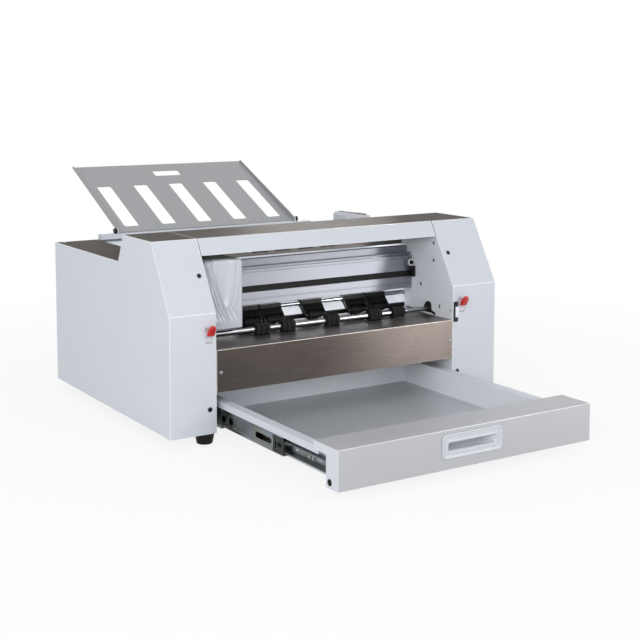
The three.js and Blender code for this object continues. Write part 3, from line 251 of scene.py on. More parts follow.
def build_materials():
    # Powder coat on folded steel: an orange-peel skin about 1.5 mm across, satin
    finish("powder_coat", ("#d4d8de", "#dadde3"), 0.42, grain=1.5, bump=0.010, patch=160)
    # Brushed stainless: fine strokes along X that stretch every reflection upright; its warm grey is
    # darkened, a painted dark reflection
    finish("brushed_stainless", ("#564e4a", "#5f5854"), 0.26, **STEEL_STROKES)
    # The table's top, the same steel made brighter: painted light on the top face
    finish("table_top_painted_light", ("#76706e", "#827c7a"), 0.28, **STEEL_STROKES)
    # The same steel on the top sheets, its reflection at a low angle tinted dark: a painted dark reflection
    finish("top_sheet_dark_reflection", ("#67635f", "#716d6a"), 0.3, **STEEL_STROKES, Specular_Tint=linear("#a4a3a2"))
    # Satin silver paint over sheet, with a metal flake of about half a millimetre
    finish("silver_paint", ("#b6b6b9", "#bebec1"), 0.40, grain=0.5, bump=0.004, patch=200, Metallic=0.25)
    # Grey paint of the tray, dull and even
    finish("tray_paint", ("#a3a3a4", "#a9a9aa"), 0.5, grain=0.8, bump=0.008, patch=150, Metallic=0.1)
    # Satin grey of the drawer floor, darker than its walls
    finish("satin_grey", ("#c2c6ca", "#cacdd1"), 0.38, grain=0.7, bump=0.004, patch=140, Metallic=0.3)
    # Zinc plate of the slides and hidden sheet work: greyed, with a faint blue and olive bloom
    finish("zinc_plate", ("#77766a", "#7f8b96"), 0.3, grain=2.5, bump=0.006, patch=30, patch_share=0.75,
           Metallic=1.0)
    # Steel of the cross member, darkened: painted shade under the header
    finish("member_painted_shade", ("#5e5b57", "#686561"), 0.35, grain=0.8, bump=0.004, patch=60, Metallic=0.7)
    # Anodised aluminium: drawn strokes along the extrusion
    finish("anodised_aluminium", ("#a2a4ac", "#abadb5"), 0.52, grain=0.6, stretch=(200, 1, 1), bump=0.0012,
           patch=200, brushed=ALONG_X, Metallic=0.9)
    # Ground steel of shafts and pulleys: fine rings round the axis
    finish("ground_steel", ("#a2a3a7", "#b4b5b9"), 0.24, grain=0.4, stretch=(1, 12, 12), bump=0.002,
           Metallic=1.0)
    # White moulded ABS: a faint spark texture
    finish("moulded_abs", WHITE_ABS, 0.36, grain=0.6, bump=0.006, IOR=1.53)
    # The carriage cover's ABS, from a polished mould, so its ridges catch the light
    finish("polished_abs", WHITE_ABS, 0.2, grain=0.6, bump=0.002, IOR=1.53)
    # Black ABS: a deeper spark texture that breaks up its weak reflections
    finish("black_abs", ("#09090a", "#111112"), 0.4, grain=0.6, IOR=1.53, Specular_IOR_Level=0.3)
    # Moulded rubber: dull, with a dusty bloom, and greyer edges that are a painted highlight
    finish("rubber", ("#060606", "#101010"), 0.62, grain=0.9, bump=0.03, patch=14, edge="#242424", IOR=1.52,
           Specular_IOR_Level=0.22)
    # Black oxide on screw heads: thin and faintly metallic
    finish("black_oxide", ("#0b0b0c", "#151517"), 0.36, grain=0.5, bump=0.004, Metallic=0.5)
    # Glossy panel over the display: deep black with sharp reflections
    finish("panel_gloss", ("#08090a", "#0c0d0f"), 0.08, grain=5, bump=0.0005, IOR=1.49)
    # Red moulded handle: glossy ABS, paler along its edges, a painted highlight
    finish("red_abs", ("#b30b0b", "#cc1313"), 0.25, grain=0.8, bump=0.008, edge="#e4403a", IOR=1.53)
    # Paler, glossier powder coat: a painted highlight on bends, and the pale coat of a washer and the sensor
    # window
    finish("pale_coat_and_bend_highlight", ("#eef0f4", "#f4f5f8"), 0.3, grain=1.5, bump=0.004, patch=160)
    # Powder coat inside the drawer and the bay, made brighter: painted light on faces that lie in shade
    finish("coat_painted_bright", ("#e9edf3", "#f0f3f7"), 0.42, grain=1.5, bump=0.010, patch=160)
    # Silver paint over a bend, paler: a painted highlight, a bright line along the drawer front
    finish("silver_bend_highlight", ("#dcdce0", "#e4e4e7"), 0.3, grain=0.5, bump=0.002, patch=200, Metallic=0.2)
    # Stainless over a bend, paler: a painted highlight, a pale line along each fold
    finish("steel_bend_highlight", ("#c9c2bc", "#d4cec9"), 0.3, grain=0.5, bump=0.001, patch=220, Metallic=0.8)
    # Circuit board: green lacquer
    finish("board_lacquer", ("#123b22", "#1d5230"), 0.3, grain=1.2, patch=12)


# The paler finish that the rounded faces of each bend take: a painted highlight along every bend
BEND_HIGHLIGHTS = {
    "powder_coat": "pale_coat_and_bend_highlight", "silver_paint": "silver_bend_highlight",
    "brushed_stainless": "steel_bend_highlight", "top_sheet_dark_reflection": "steel_bend_highlight",
}
SLOT_FINISH = {
    "paint_white": "powder_coat", "paint_silver": "silver_paint", "stainless": "brushed_stainless",
    "zinc_plate": "zinc_plate", "alloy": "anodised_aluminium", "moulded_white": "moulded_abs",
    "black_plastic": "black_abs", "gloss_black": "panel_gloss", "rubber": "rubber",
    "red_plastic": "red_abs", "circuit_board": "board_lacquer",
}
SLOT_FOR = {finish_name: slot for slot, finish_name in SLOT_FINISH.items()}
SLOT_FOR.update({
    "pale_coat_and_bend_highlight": "paint_white", "satin_grey": "paint_silver", "tray_paint": "paint_silver",
    "ground_steel": "stainless", "black_oxide": "zinc_plate", "polished_abs": "moulded_white",
})


# ---- shapes, drawn in the housing's millimetres ----

def placed(axis, along, u, v):
    """A point from its place along an axis and its two places across it."""
    return {"X": (along, u, v), "Y": (u, along, v), "Z": (u, v, along)}[axis]


def loft(rings, closed=True, caps=True):
    """A skin through a row of rings that all have the same number of points."""
    bm = bmesh.new()
    rows = [[bm.verts.new(point) for point in ring] for ring in rings]
    count = len(rows[0])
    for near, far in zip(rows, rows[1:]):
        for i in range(count if closed else count - 1):
            j = (i + 1) % count
            bm.faces.new((near[i], near[j], far[j], far[i]))
    if caps:
        bm.faces.new(rows[0])
        bm.faces.new(rows[-1])
    bmesh.ops.recalc_face_normals(bm, faces=bm.faces)
    return bm


def turned(axis, centre, profile, count=40, wave=None):
    """A turned body from (place, radius) pairs; wave gives the share of the radius at each step round."""
    rings = []
    for along, radius in profile:
        ring = []
        for i in range(count):
            turn, reach = 2 * pi * i / count, radius * (wave(i) if wave else 1)
            u, v = centre[0] + reach * cos(turn), centre[1] + reach * sin(turn)
            ring.append(placed(axis, along, u, v))
        rings.append(ring)
    return loft(rings)


def rod(low, high, radius, run, drop):
    """The profile of a rod; run and drop are its chamfers' sizes along and across it."""
    return [(low, radius - drop), (low + run, radius), (high - run, radius), (high, radius - drop)]


def mirrored(x, half):
    """A profile that is the same both ways from x, given the places and radii of one half."""
    return [(x - out, radius) for out, radius in half] + [(x + out, radius) for out, radius in half[::-1]]


def toothed(shift=0, low=0.91):
    """The share of the radius at each step round a ribbed body."""
    return lambda i: 1 if (i // 2 + shift) % 2 else low


def rounded(points, radius, steps=5):
    """An outline with its corners rounded; radius may be one for each corner."""
    line = []
    for i, point in enumerate(points):
        r = radius[i] if isinstance(radius, (list, tuple)) else radius
        corner = Vector(point)
        if r == 0:
            line.append(tuple(corner))
            continue
        back = (Vector(points[i - 1]) - corner).normalized()
        on = (Vector(points[(i + 1) % len(points)]) - corner).normalized()
        half = back.angle(on) / 2
        reach = r / tan(half)
        centre = corner + (back + on).normalized() * r / sin(half)
        start, end = corner + back * reach - centre, corner + on * reach - centre
        swing = atan2(start.x * end.y - start.y * end.x, start.dot(end))
        for step in range(steps + 1):
            turn = swing * step / steps
            line.append((centre.x + start.x * cos(turn) - start.y * sin(turn),
                         centre.y + start.x * sin(turn) + start.y * cos(turn)))
    return line


def rectangle(u0, u1, v0, v1, radius=0, steps=5):
    return rounded([(u0, v0), (u1, v0), (u1, v1), (u0, v1)], radius, steps)


def stadium(u0, u1, v0, v1):
    """A slot's outline, round at its ends."""
    return rectangle(u0, u1, v0, v1, min(u1 - u0, v1 - v0) / 2 - 0.01)


def bevelled(bm, width, angle=28, material=-1):
    """Rounds every edge sharper than the angle; material is the finish of the new faces."""
    edges = [e for e in bm.edges if len(e.link_faces) == 2 and e.calc_face_angle(0) > radians(angle)]
    bmesh.ops.bevel(bm, geom=edges, offset=width, segments=2, profile=0.5, affect="EDGES",
                    clamp_overlap=True, material=material)
    return bm


def prism(axis, outline, low, high, edge=0):
    """An outline drawn out along an axis, its edges rounded by edge."""
    bm = loft([[placed(axis, along, u, v) for u, v in outline] for along in (low, high)])
    return bevelled(bm, edge) if edge else bm


def block(x0, x1, y0, y1, z0, z1, edge=0.5):
    return prism("Z", rectangle(x0, x1, y0, y1), z0, z1, edge)


def ribbon(path, thickness):
    """The outline of a strip that follows a path, thickened to the left of its run."""
    inner = []
    for i, point in enumerate(path):
        here = Vector(point)
        before = (here - Vector(path[i - 1])).normalized() if i else None
        after = (Vector(path[i + 1]) - here).normalized() if i < len(path) - 1 else before
        before = before or after
        side = Vector((-(before.y + after.y), before.x + after.x)).normalized()
        slant = max(0.4, side.dot(Vector((-before.y, before.x))))
        inner.append(tuple(here + side * thickness / slant))
    return list(path) + inner[::-1]


def as_mesh(name, bm):
    """A mesh from a bmesh, which is freed."""
    mesh = bpy.data.meshes.new(name)
    bm.to_mesh(mesh)
    bm.free()
    return mesh


def smooth_mesh(name, bm, sharp_angle):
    """A mesh from a bmesh, smooth except at its sharper edges."""
    mesh = as_mesh(name, bm)
    mesh.polygons.foreach_set("use_smooth", [True] * len(mesh.polygons))
    mesh.set_sharp_from_angle(angle=radians(sharp_angle))
    return mesh


def together(*bodies):
    whole = bmesh.new()
    for bm in bodies:
        mesh = as_mesh("part", bm)
        whole.from_mesh(mesh)
        bpy.data.meshes.remove(mesh)
    return whole


def cut(body, *tools):
    """The body with the tools taken out of it."""
    pair = [add_object("work", as_mesh("work", bm)) for bm in (body, together(*tools))]
    taken = pair[0].modifiers.new("taken", "BOOLEAN")
    taken.operation, taken.object, taken.solver = "DIFFERENCE", pair[1], "EXACT"
    bpy.context.view_layer.update()
    left = bmesh.new()
    left.from_object(pair[0], bpy.context.evaluated_depsgraph_get())
    for work in pair:
        mesh = work.data
        bpy.data.objects.remove(work)
        bpy.data.meshes.remove(mesh)
    return left


def across(bm, middle):
    """The mirror image of a body about a plane of constant X."""
    bm.transform(Matrix.Translation((2 * middle, 0, 0)) @ Matrix.Diagonal((-1, 1, 1, 1)))
    bmesh.ops.reverse_faces(bm, faces=bm.faces)
    return bm


# ---- pieces ----

def seat(piece, finish_names, body, stands_for=()):
    """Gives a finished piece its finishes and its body."""
    for name in finish_names:
        piece.data.materials.append(MATERIALS[name])
    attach(piece, body)
    if stands_for:
        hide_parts(*stands_for)
    return piece


def mesh_piece(name, bm, smooth_angle=38, wall=0):
    """A new object from a bmesh, with a wall inward of its skin if one is given."""
    piece = add_object(name, smooth_mesh(name, bm, smooth_angle))
    if wall:
        skin = piece.modifiers.new("wall", "SOLIDIFY")
        skin.thickness, skin.offset = wall * MM, -1
    flat = piece.modifiers.new("flat_faces", "WEIGHTED_NORMAL")
    flat.keep_sharp = True
    return piece


def piece(name, bm, finish_name, body="housing", stands_for=(), wall=0, smooth_angle=38):
    """A finished piece from a body drawn in the housing's millimetres."""
    bm.transform(TO_FRAME)
    made = mesh_piece(name, bm, smooth_angle, wall)
    return seat(made, (finish_name,), body, stands_for)


def soften(node, width=0.6, finish_name=None, others=()):
    """A CAD node with its bends and corners rounded, which stands for the node.

    others are finishes, each with a test of a face's centre and normal, for the faces that have it.
    """
    bm = bmesh.new()
    bm.from_mesh(frame["nodes"][node].data)
    bmesh.ops.remove_doubles(bm, verts=bm.verts, dist=1e-6)
    bmesh.ops.dissolve_limit(bm, angle_limit=radians(0.5), verts=bm.verts, edges=bm.edges)
    slot = SLOT_OF[node]
    names = [finish_name or SLOT_FINISH[slot]]
    for other, has_it in others:
        for face in bm.faces:
            if has_it(TO_LAYOUT @ face.calc_center_median(), face.normal):
                face.material_index = len(names)
        names.append(other)
    # The rounded faces of bends take a paler finish, a painted highlight
    bend = BEND_HIGHLIGHTS.get(names[0])
    bevelled(bm, width * MM, material=len(names) if bend else -1)
    if bend:
        names.append(bend)
    return seat(mesh_piece(node + "_rounded", bm), names, BODY_OF[node], (node,))


def dress_frame():
    """Every CAD node gets its real finish in its own material slot."""
    for name, node in frame["nodes"].items():
        node.data.materials.clear()
        node.data.materials.append(MATERIALS[SLOT_FINISH[SLOT_OF[name]]])


# ---- housing and sheet work ----

SOFT_EDGES = {
    "base_pan": 0.5, "left_cover": 1.2, "right_cover": 1.2, "header_cover": 1.1, "tray_bar": 0.6,
    "left_frame_plate": 0.3, "rear_panel": 0.3, "carriage_base": 0.6, "infeed_guide": 0.8,
    "cutting_strip": 0.15, "control_pod": 2.0, "power_inlet": 0.6, "power_supply": 0.8,
}


def is_tray_bolt(centre, normal):
    return abs(centre.x - MIDDLE_X) > 192.6


# The table's upward faces, which take the brighter steel: painted light
def is_table_top(centre, normal):
    return normal.z > 0.9


def is_drawer_floor(centre, normal):
    return normal.z > 0.9 and centre.z < 8


# The drawer's right wall and its faces towards the front, which take the brighter coat: painted light
def is_drawer_wall(centre, normal):
    return normal.x < -0.9 and centre.x > OPEN_RIGHT - 45 or normal.y < -0.9


def is_drawer_end(centre, normal):
    return abs(normal.x) > 0.9


def build_sheet_work():
    for node, width in SOFT_EDGES.items():
        soften(node, width)
    soften("drawer_box", 0.5, others=(("satin_grey", is_drawer_floor), ("coat_painted_bright", is_drawer_wall)))
    soften("drawer_front", 1.3, others=(("powder_coat", is_drawer_end),))
    soften("right_frame_plate", 0.3, "coat_painted_bright")
    soften("feed_ramp", 0.4, "coat_painted_bright")
    soften("exit_table", 1.2, others=(("table_top_painted_light", is_table_top),))
    soften("feed_tray", 0.4, "tray_paint", (("black_oxide", is_tray_bolt),))
    soften("cross_member", 0.4, "member_painted_shade")
    for node in ("left_top_sheet", "header_top_sheet", "right_top_sheet"):
        soften(node, 0.4, "top_sheet_dark_reflection")
    # Black blocks behind the cross member's slots: painted shade, dark where the slots show the inside
    slots = [MIDDLE_X + 46 * (i - 1.5) for i in range(4)]
    slot_shade_blocks = [block(x - 16.7, x + 16.7, 150.9, 151.9, 254.3, 258.7, 0.3) for x in slots]
    piece("member_slot_shade", together(*slot_shade_blocks), "black_abs")


SLOPE_FACING = (0, -0.866, 0.5)


def build_seams():
    """A dark strip in each joint between the header and a side cover, sunk under the slope's face: painted
    shade in the gap.
    """
    run = 63 / 109
    top = 298
    bottom = (TO_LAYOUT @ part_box("header_cover")[0]).z + 1
    outline = [((z - 190) * run - SLOPE_FACING[1] * deep, z - SLOPE_FACING[2] * deep)
               for z, deep in ((bottom, 0.45), (top, 0.45), (top, 1.4), (bottom, 1.4))]
    for side, x in (("left", OPEN_LEFT), ("right", OPEN_RIGHT)):
        piece(f"header_gap_shade_{side}", prism("X", outline, x - 0.7, x + 0.7, 0.1), "rubber")


FOOT_X, FOOT_Y = (66.5, 573.5), (16.5, 461.5)


def build_feet():
    """Rubber feet: turned, with a rolled lower edge and a screw in the recess."""
    profile = [(-12, 4.2), (-17, 4.2), (-17.5, 4.8), (-17.5, 10.6), (-17.2, 11.8), (-16.4, 12.5),
               (-15.2, 12.9), (-13.6, 13.2), (-3.4, 15.1), (-1.6, 15.7), (-0.9, 15.8), (-0.4, 15.5),
               (-0.3, 14.8)]
    for side, x in zip(("left", "right"), FOOT_X):
        for end, y in zip(("front", "rear"), FOOT_Y):
            node = f"foot_{end}_{side}"
            piece(node + "_turned", turned("Z", (x, y), profile, 56), "rubber", stands_for=(node,))


# ---- screws ----

def screw_mesh():
    """A cross-recessed pan head on a bright washer, pointing down -Y, 6 mm across."""
    dome = [(0.1, 2.9), (-0.5, 2.95), (-1.1, 2.7), (-1.5, 2.2), (-1.75, 1.4), (-1.85, 0.5)]
    a, b = 1.6, 0.36
    cross = [(-a, -b), (-b, -b), (-b, -a), (b, -a), (b, -b), (a, -b),
             (a, b), (b, b), (b, a), (-b, a), (-b, b), (-a, b)]
    head = cut(turned("Y", (0, 0), dome, 28), prism("Y", cross, -2.2, -0.7))
    washer = turned("Y", (0, 0), [(0.1, 3.8), (-0.25, 3.8), (-0.45, 3.6), (-0.45, 2.2), (0.1, 2.2)], 36)
    rim = len(head.faces)
    whole = together(head, washer)
    whole.faces.ensure_lookup_table()
    for face in whole.faces[rim:]:
        face.material_index = 1
    whole.transform(Matrix.Scale(MM, 4))
    return smooth_mesh("screw", whole, 35)


def place_screws():
    """Screws: name, body, finish of the head, direction that the head faces, size, places in X, Y and Z."""
    mesh = screw_mesh()
    front, rear, under, up = (0, -1, 0), (0, 1, 0), (0, 0, -1), (0, 0, 1)
    edges = (14, 626)
    for name, body, head, facing, size, *places in (
        ("cover_screw", "housing", "black_oxide", front, 1.1, (68, 556), (0,), (39,)),
        ("slope_screw", "housing", "black_oxide", SLOPE_FACING, 1.1, (67, 558), (31.6,), (244.7,)),
        ("table_screw", "housing", "ground_steel", front, 0.85, (88, 539), (0,), (95,)),
        ("rear_screw", "housing", "ground_steel", rear, 1.0, (98, 205, 312, 420, 527), (478,), (14, 240)),
        ("cover_rear_screw", "housing", "ground_steel", rear, 1.0, edges, (478,), (14, 236)),
        ("drawer_screw", "drawer", "ground_steel", front, 0.8, (130, 495), (-277.7,), (12,)),
        ("foot_screw", "housing", "ground_steel", under, 1.1, FOOT_X, FOOT_Y, (-12,)),
        ("deck_screw", "housing", "ground_steel", up, 0.8, edges, (215, 466), (253,)),
    ):
        turn = Vector(front).rotation_difference(Vector(facing)).to_matrix().to_4x4()
        for i, point in enumerate(product(*places)):
            made = add_object(f"{name}_{i + 1}", mesh.copy())
            made.data.transform(Matrix.Translation(at(*point)) @ turn @ Matrix.Scale(size, 4))
            seat(made, (head, "zinc_plate"), body)


# ---- paper path ----

ROLLER_MIDDLE = 341
EXIT_AXIS = (75, 140)
PINCH_X = [ROLLER_MIDDLE + 128 * share for share in (-1, -0.65, 0, 0.7, 1.06)]
DRIVE_AXIS = (128, 124.5)
PINCH_AXIS = (128, 140.4)
LIFT_AXIS = (146, 160)
PINCH_PROFILE = [
    (-2.4, 2.2), (-2.4, 2.4), (0, 2.4), (0, 4.4), (1.6, 4.4), (1.6, 7.0), (2.1, 7.5), (6.6, 7.5), (7.0, 7.0),
    (7.8, 7.0), (8.2, 7.5), (12.7, 7.5), (13.1, 7.0), (13.9, 7.0), (14.3, 7.5), (18.6, 7.5), (19.4, 7.0),
    (29.6, 4.6), (30.4, 3.9), (33, 3.9), (33, 2.4), (35.4, 2.4), (35.4, 2.2),
]


def build_exit_shaft():
    """Exit shaft: a ground axle with five ribbed tyres moulded onto it, and its bushes."""
    ends = [(78.0, 3.4), (78.6, 4), (84, 4), (84, 3.6), (85, 3.6), (85, 4), (540, 4), (540, 3.6), (541, 3.6),
            (541, 4), (546.4, 4), (547, 3.4)]
    piece("exit_axle", turned("X", EXIT_AXIS, ends, 36), "ground_steel", "exit_shaft", ("exit_shaft",))
    for i, share in enumerate((-1, -0.64, 0, 0.64, 1)):
        x = ROLLER_MIDDLE + 138 * share
        bands = [turned("X", EXIT_AXIS, rod(x - 13, x + 13, 6.2, 0.4, 1), 40)]
        for k in range(3):
            x0 = x - 12.4 + 8.5 * k
            bands.append(turned("X", EXIT_AXIS, rod(x0, x0 + 7.8, 9.9, 0.5, 1.3), 64, toothed(k)))
        piece(f"exit_tyre_{i + 1}", together(*bands), "rubber", "exit_shaft")
    bush = [(80, 7.5), (82.4, 7.5), (83, 6.9), (83, 5.4), (80, 5.4)]
    piece("left_bush", turned("X", EXIT_AXIS, bush, 40), "black_abs")
    outline = rounded([(60.5, 139), (61.5, 150), (67, 154.5), (74, 153), (80, 146), (81, 139), (78, 134.4),
                       (58, 134.4), (49, 131.6), (50, 136)], [2, 4, 4, 4, 4, 3, 3, 1, 0.8, 1])
    piece("right_bush", prism("X", outline, 542.6, 545, 0.4), "black_abs")
    piece("wire_slot", prism("X", stadium(104, 136, 132.8, 135.2), 544.4, 545.2, 0.2), "black_abs")


def is_lift_shaft(centre, normal):
    away = hypot(centre.y - LIFT_AXIS[0], centre.z - LIFT_AXIS[1])
    return away < 4.3 and all(abs(centre.x - x) > 20.6 for x in PINCH_X)


def build_pinch_rollers():
    """Forks on a steel lift shaft, each with its roller and a spring."""
    soften("pinch_frame", 0.8, others=(("ground_steel", is_lift_shaft),))
    coil_radius, wire_radius, pitch, steps_round = 5.4, 0.55, 0.09, 12
    for i, x in enumerate(PINCH_X):
        profile = [(x - 16.5 + along, radius) for along, radius in PINCH_PROFILE]
        node = f"pinch_roller_{i + 1}"
        piece(node + "_turned", turned("X", PINCH_AXIS, profile, 44), "rubber", node, (node,))
        coil = []
        for step in range(8 * steps_round + 1):
            turn = 2 * pi * step / steps_round
            out = Vector((0, cos(turn), sin(turn)))
            middle = Vector((x + 7 + step * pitch, *LIFT_AXIS)) + out * coil_radius
            coil.append([middle + out * wire_radius * cos(a) + Vector((wire_radius * sin(a), 0, 0))
                         for a in (pi / 3 * k for k in range(6))])
        piece(f"fork_spring_{i + 1}", loft(coil), "ground_steel", "pinch_frame")


def build_drive_rollers():
    """Drive roller with a knurled land under each pinch roller; pickup roller with two ribbed tyres."""
    profile = [(78, 3.4), (78.6, 4)]
    for x in PINCH_X:
        profile += [(x - 20, 4), (x - 20, 7.4), (x - 19.4, 8)]
        for k in range(12):
            groove = x - 18 + 3.2 * k
            profile += [(groove, 8), (groove + 0.3, 7.7), (groove + 0.7, 7.7), (groove + 1.0, 8)]
        profile += [(x + 19.4, 8), (x + 20, 7.4), (x + 20, 4)]
    profile += [(546.7, 4), (547.3, 3.4)]
    drive = turned("X", DRIVE_AXIS, profile, 32)
    piece("drive_roller_turned", drive, "ground_steel", "drive_roller", ("drive_roller",))
    low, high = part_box("pickup_roller")
    axis = (TO_LAYOUT @ ((low + high) / 2)).yz
    axle = turned("X", axis, rod(78, 547, 5, 0.6, 0.6), 36)
    piece("pickup_axle", axle, "ground_steel", "pickup_roller", ("pickup_roller",))
    for name, x in (("left", 252.5), ("right", 372.5)):
        tyre = turned("X", axis, mirrored(x, [(12, 11), (12, 14.4), (11.4, 15.9)]), 96, toothed(low=0.95))
        piece(f"pickup_tyre_{name}", tyre, "rubber", "pickup_roller")
        hub = turned("X", axis, mirrored(x, [(14, 7.4), (13.6, 7.8), (12.2, 7.8), (12, 11.6)]), 48)
        piece(f"pickup_hub_{name}", hub, "moulded_abs", "pickup_roller")


# ---- carriage drive ----

BELT_AXIS_Y, BELT_AXIS_Z = 130, 198.5
PULLEY_X = (50, 535)
IDLER_BOLT = (537.4, 219.5)


def build_belt():
    """Toothed belt: a flat back, and teeth 2.5 mm apart on the inside. Each half is a run and a bend."""
    inner, thick, tooth, root, width = 8.3, 1.2, 0.7, 0.05, 10
    run = PULLEY_X[1] - PULLEY_X[0]
    half = run + pi * inner
    count = 4 * round(2 * half / 2.5)
    rings = []
    for i in range(count):
        second, s = divmod(2 * half * i / count, half)
        sign, (start, end) = (-1, PULLEY_X[::-1]) if second else (1, PULLEY_X)
        if s < run:
            out = (0, -sign)
            base = (start + sign * s, BELT_AXIS_Y + inner * out[1])
        else:
            turn = (s - run) / inner - pi / 2
            out = (sign * cos(turn), sign * sin(turn))
            base = (end + inner * out[0], BELT_AXIS_Y + inner * out[1])
        low = tooth if i % 4 < 2 else root
        rings.append([(base[0] + out[0] * reach, base[1] + out[1] * reach, BELT_AXIS_Z + edge * width / 2)
                      for reach, edge in ((low, -1), (thick, -1), (thick, 1), (low, 1))])
    rings.append(rings[0])
    bm = loft(rings, caps=False)
    bmesh.ops.remove_doubles(bm, verts=bm.verts, dist=0.001)
    piece("carriage_belt_toothed", bm, "rubber", stands_for=("carriage_belt",))


def build_pulleys():
    for node, x, reach in (("motor_pulley", PULLEY_X[0], 8.5), ("idler_pulley", PULLEY_X[1], 11.5)):
        axis, z = (x, BELT_AXIS_Y), BELT_AXIS_Z
        hub = turned("Z", axis, [(z - 5.1, 7.7), (z + 5.1, 7.7)], 60, toothed(low=0.9))
        flanges = [turned("Z", axis, rod(z + low, z + low + 0.9, 8, 0.15, 0.3), 48) for low in (-6, 5.1)]
        pin = turned("Z", axis, rod(z - reach, z + reach, 2.5, 0.5, 0.3), 24)
        piece(node + "_toothed", together(hub, *flanges, pin), "ground_steel", node, (node,))


def stepper(node, axis, centre, start, length, shaft_end):
    """A square motor: bright end caps with cut corners, a black stack between them, and its shaft."""
    u, v = centre
    half_width, cap, hole = 21, 11, 15.5

    def case(low, high, inset, corner):
        half = half_width - inset
        outline = rectangle(u - half, u + half, v - half, v + half, corner, 1)
        return prism(axis, outline, low, high, 0.5)

    end = start + length
    face, inward = (start, 0.5) if shaft_end < start else (end, -0.5)
    caps = [case(start, start + cap, 0, 4), case(end - cap, end, 0, 4),
            turned(axis, centre, rod(*sorted((face, shaft_end)), 2.5, 0.4, 0.4), 24)]
    for a in (-hole, hole):
        for b in (-hole, hole):
            sunk = [(place, 2.6) for place in sorted((face, face + inward))]
            caps.append(turned(axis, (u + a, v + b), sunk, 20))
    piece(node + "_caps", together(*caps), "ground_steel", stands_for=(node,))
    piece(node + "_stack", case(start + cap, end - cap, 0.8, 3), "black_abs")


def build_motors():
    low, high = in_layout(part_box("carriage_motor"))
    stepper("carriage_motor", "Z", (PULLEY_X[0], BELT_AXIS_Y), low.z, 46, min(high.z, BELT_AXIS_Z - 8.8))
    low, high = in_layout(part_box("feed_motor"))
    stepper("feed_motor", "X", ((low.y + high.y) / 2, (low.z + high.z) / 2), low.x, high.x - low.x, low.x)


def build_beam():
    """Extruded beam: a slot under the rail, two fine grooves, and lips in front of the belt channel."""
    section = [
        (120, 172), (148, 172), (148, 247), (136, 247), (136, 236), (120, 236), (120, 235), (126, 235),
        (126, 231.4), (120, 231.4), (120, 228), (121.2, 227.6), (121.2, 226.8), (120, 226.4), (120, 204),
        (121.5, 204), (121.5, 207), (141, 207), (141, 190), (121.5, 190), (121.5, 193), (120, 193),
        (120, 182.2), (121.4, 181.6), (121.4, 180.4), (120, 179.8),
    ]
    body = prism("X", section, OPEN_LEFT + 0.3, OPEN_RIGHT - 0.3)
    pin_hole = turned("Z", (PULLEY_X[1], BELT_AXIS_Y), [(186.6, 2.8), (210.4, 2.8)], 24)
    beam = bevelled(cut(body, pin_hole), 0.35)
    piece("gantry_extrusion", beam, "anodised_aluminium", stands_for=("gantry_beam",))


def build_beam_end():
    """Idler bracket at the beam's right end: a black block under a bright tab, and its bolt on a washer."""
    body = prism("Y", rectangle(538.4, 544.4, 193.1, 212.4, 1.2), 108.8, 119.6, 0.4)
    piece("idler_bracket_body", body, "black_abs", stands_for=("idler_bracket",))
    tab = prism("Y", rectangle(533.6, 544.4, 212.7, 226.5, 2.5), 113.2, 119.6, 0.4)
    piece("idler_tab", tab, "anodised_aluminium")
    washer = [(113.1, 4.2), (112.0, 4.2), (111.6, 4.6), (111.6, 6.1), (111.9, 6.4), (113.1, 6.4)]
    piece("idler_washer", turned("Y", IDLER_BOLT, washer, 40), "pale_coat_and_bend_highlight")
    head = turned("Y", IDLER_BOLT, [(109.1, 2.9), (109.6, 3.4), (112.4, 3.4)], 36)
    socket = turned("Y", IDLER_BOLT, [(108.5, 1.9), (111, 1.9)], 6)
    piece("idler_bolt", cut(head, socket), "black_oxide")


# ---- carriage ----

def swell(value):
    """A smooth step from 0 to 1."""
    value = min(1.0, max(0.0, value))
    return value * value * (3 - 2 * value)


def relief(u, z):
    """How deep the cover is dished: a teardrop, a ridge and ripples left of it, a soft roll right of it."""
    tip_u, tip_z, height = 121, 184, 79
    rise = (z - tip_z) / height
    if rise > 0:
        off_left = tip_u - 27 * rise ** 0.85 - u
        off_right = u - tip_u - 19 * rise ** 0.3
    else:
        off_left = tip_u + (tip_z - z) * 0.5 - u
        off_right = -off_left
    faded = swell((z - 158) / 24)
    ridge = -2.0 * faded * swell(1 - abs(off_left - 0.5) / 4) * swell((4 - off_right) / 6)
    if off_left <= 0 and off_right <= 0:
        return 6.5 * swell(-off_left / 4.5) * swell(-off_right / 14) + ridge
    if off_left > 0:
        phase = off_left / 6.2 % 1
        saw = (1 - phase) ** 1.3 * swell(phase / 0.2)
        return ridge + 2.3 * saw * faded * swell((46 - off_left) / 20) * swell(off_left / 2)
    roll = 0.5 - 0.5 * cos(tau * off_right / 10)
    return ridge + 1.3 * roll * faded * swell((20 - off_right) / 8)


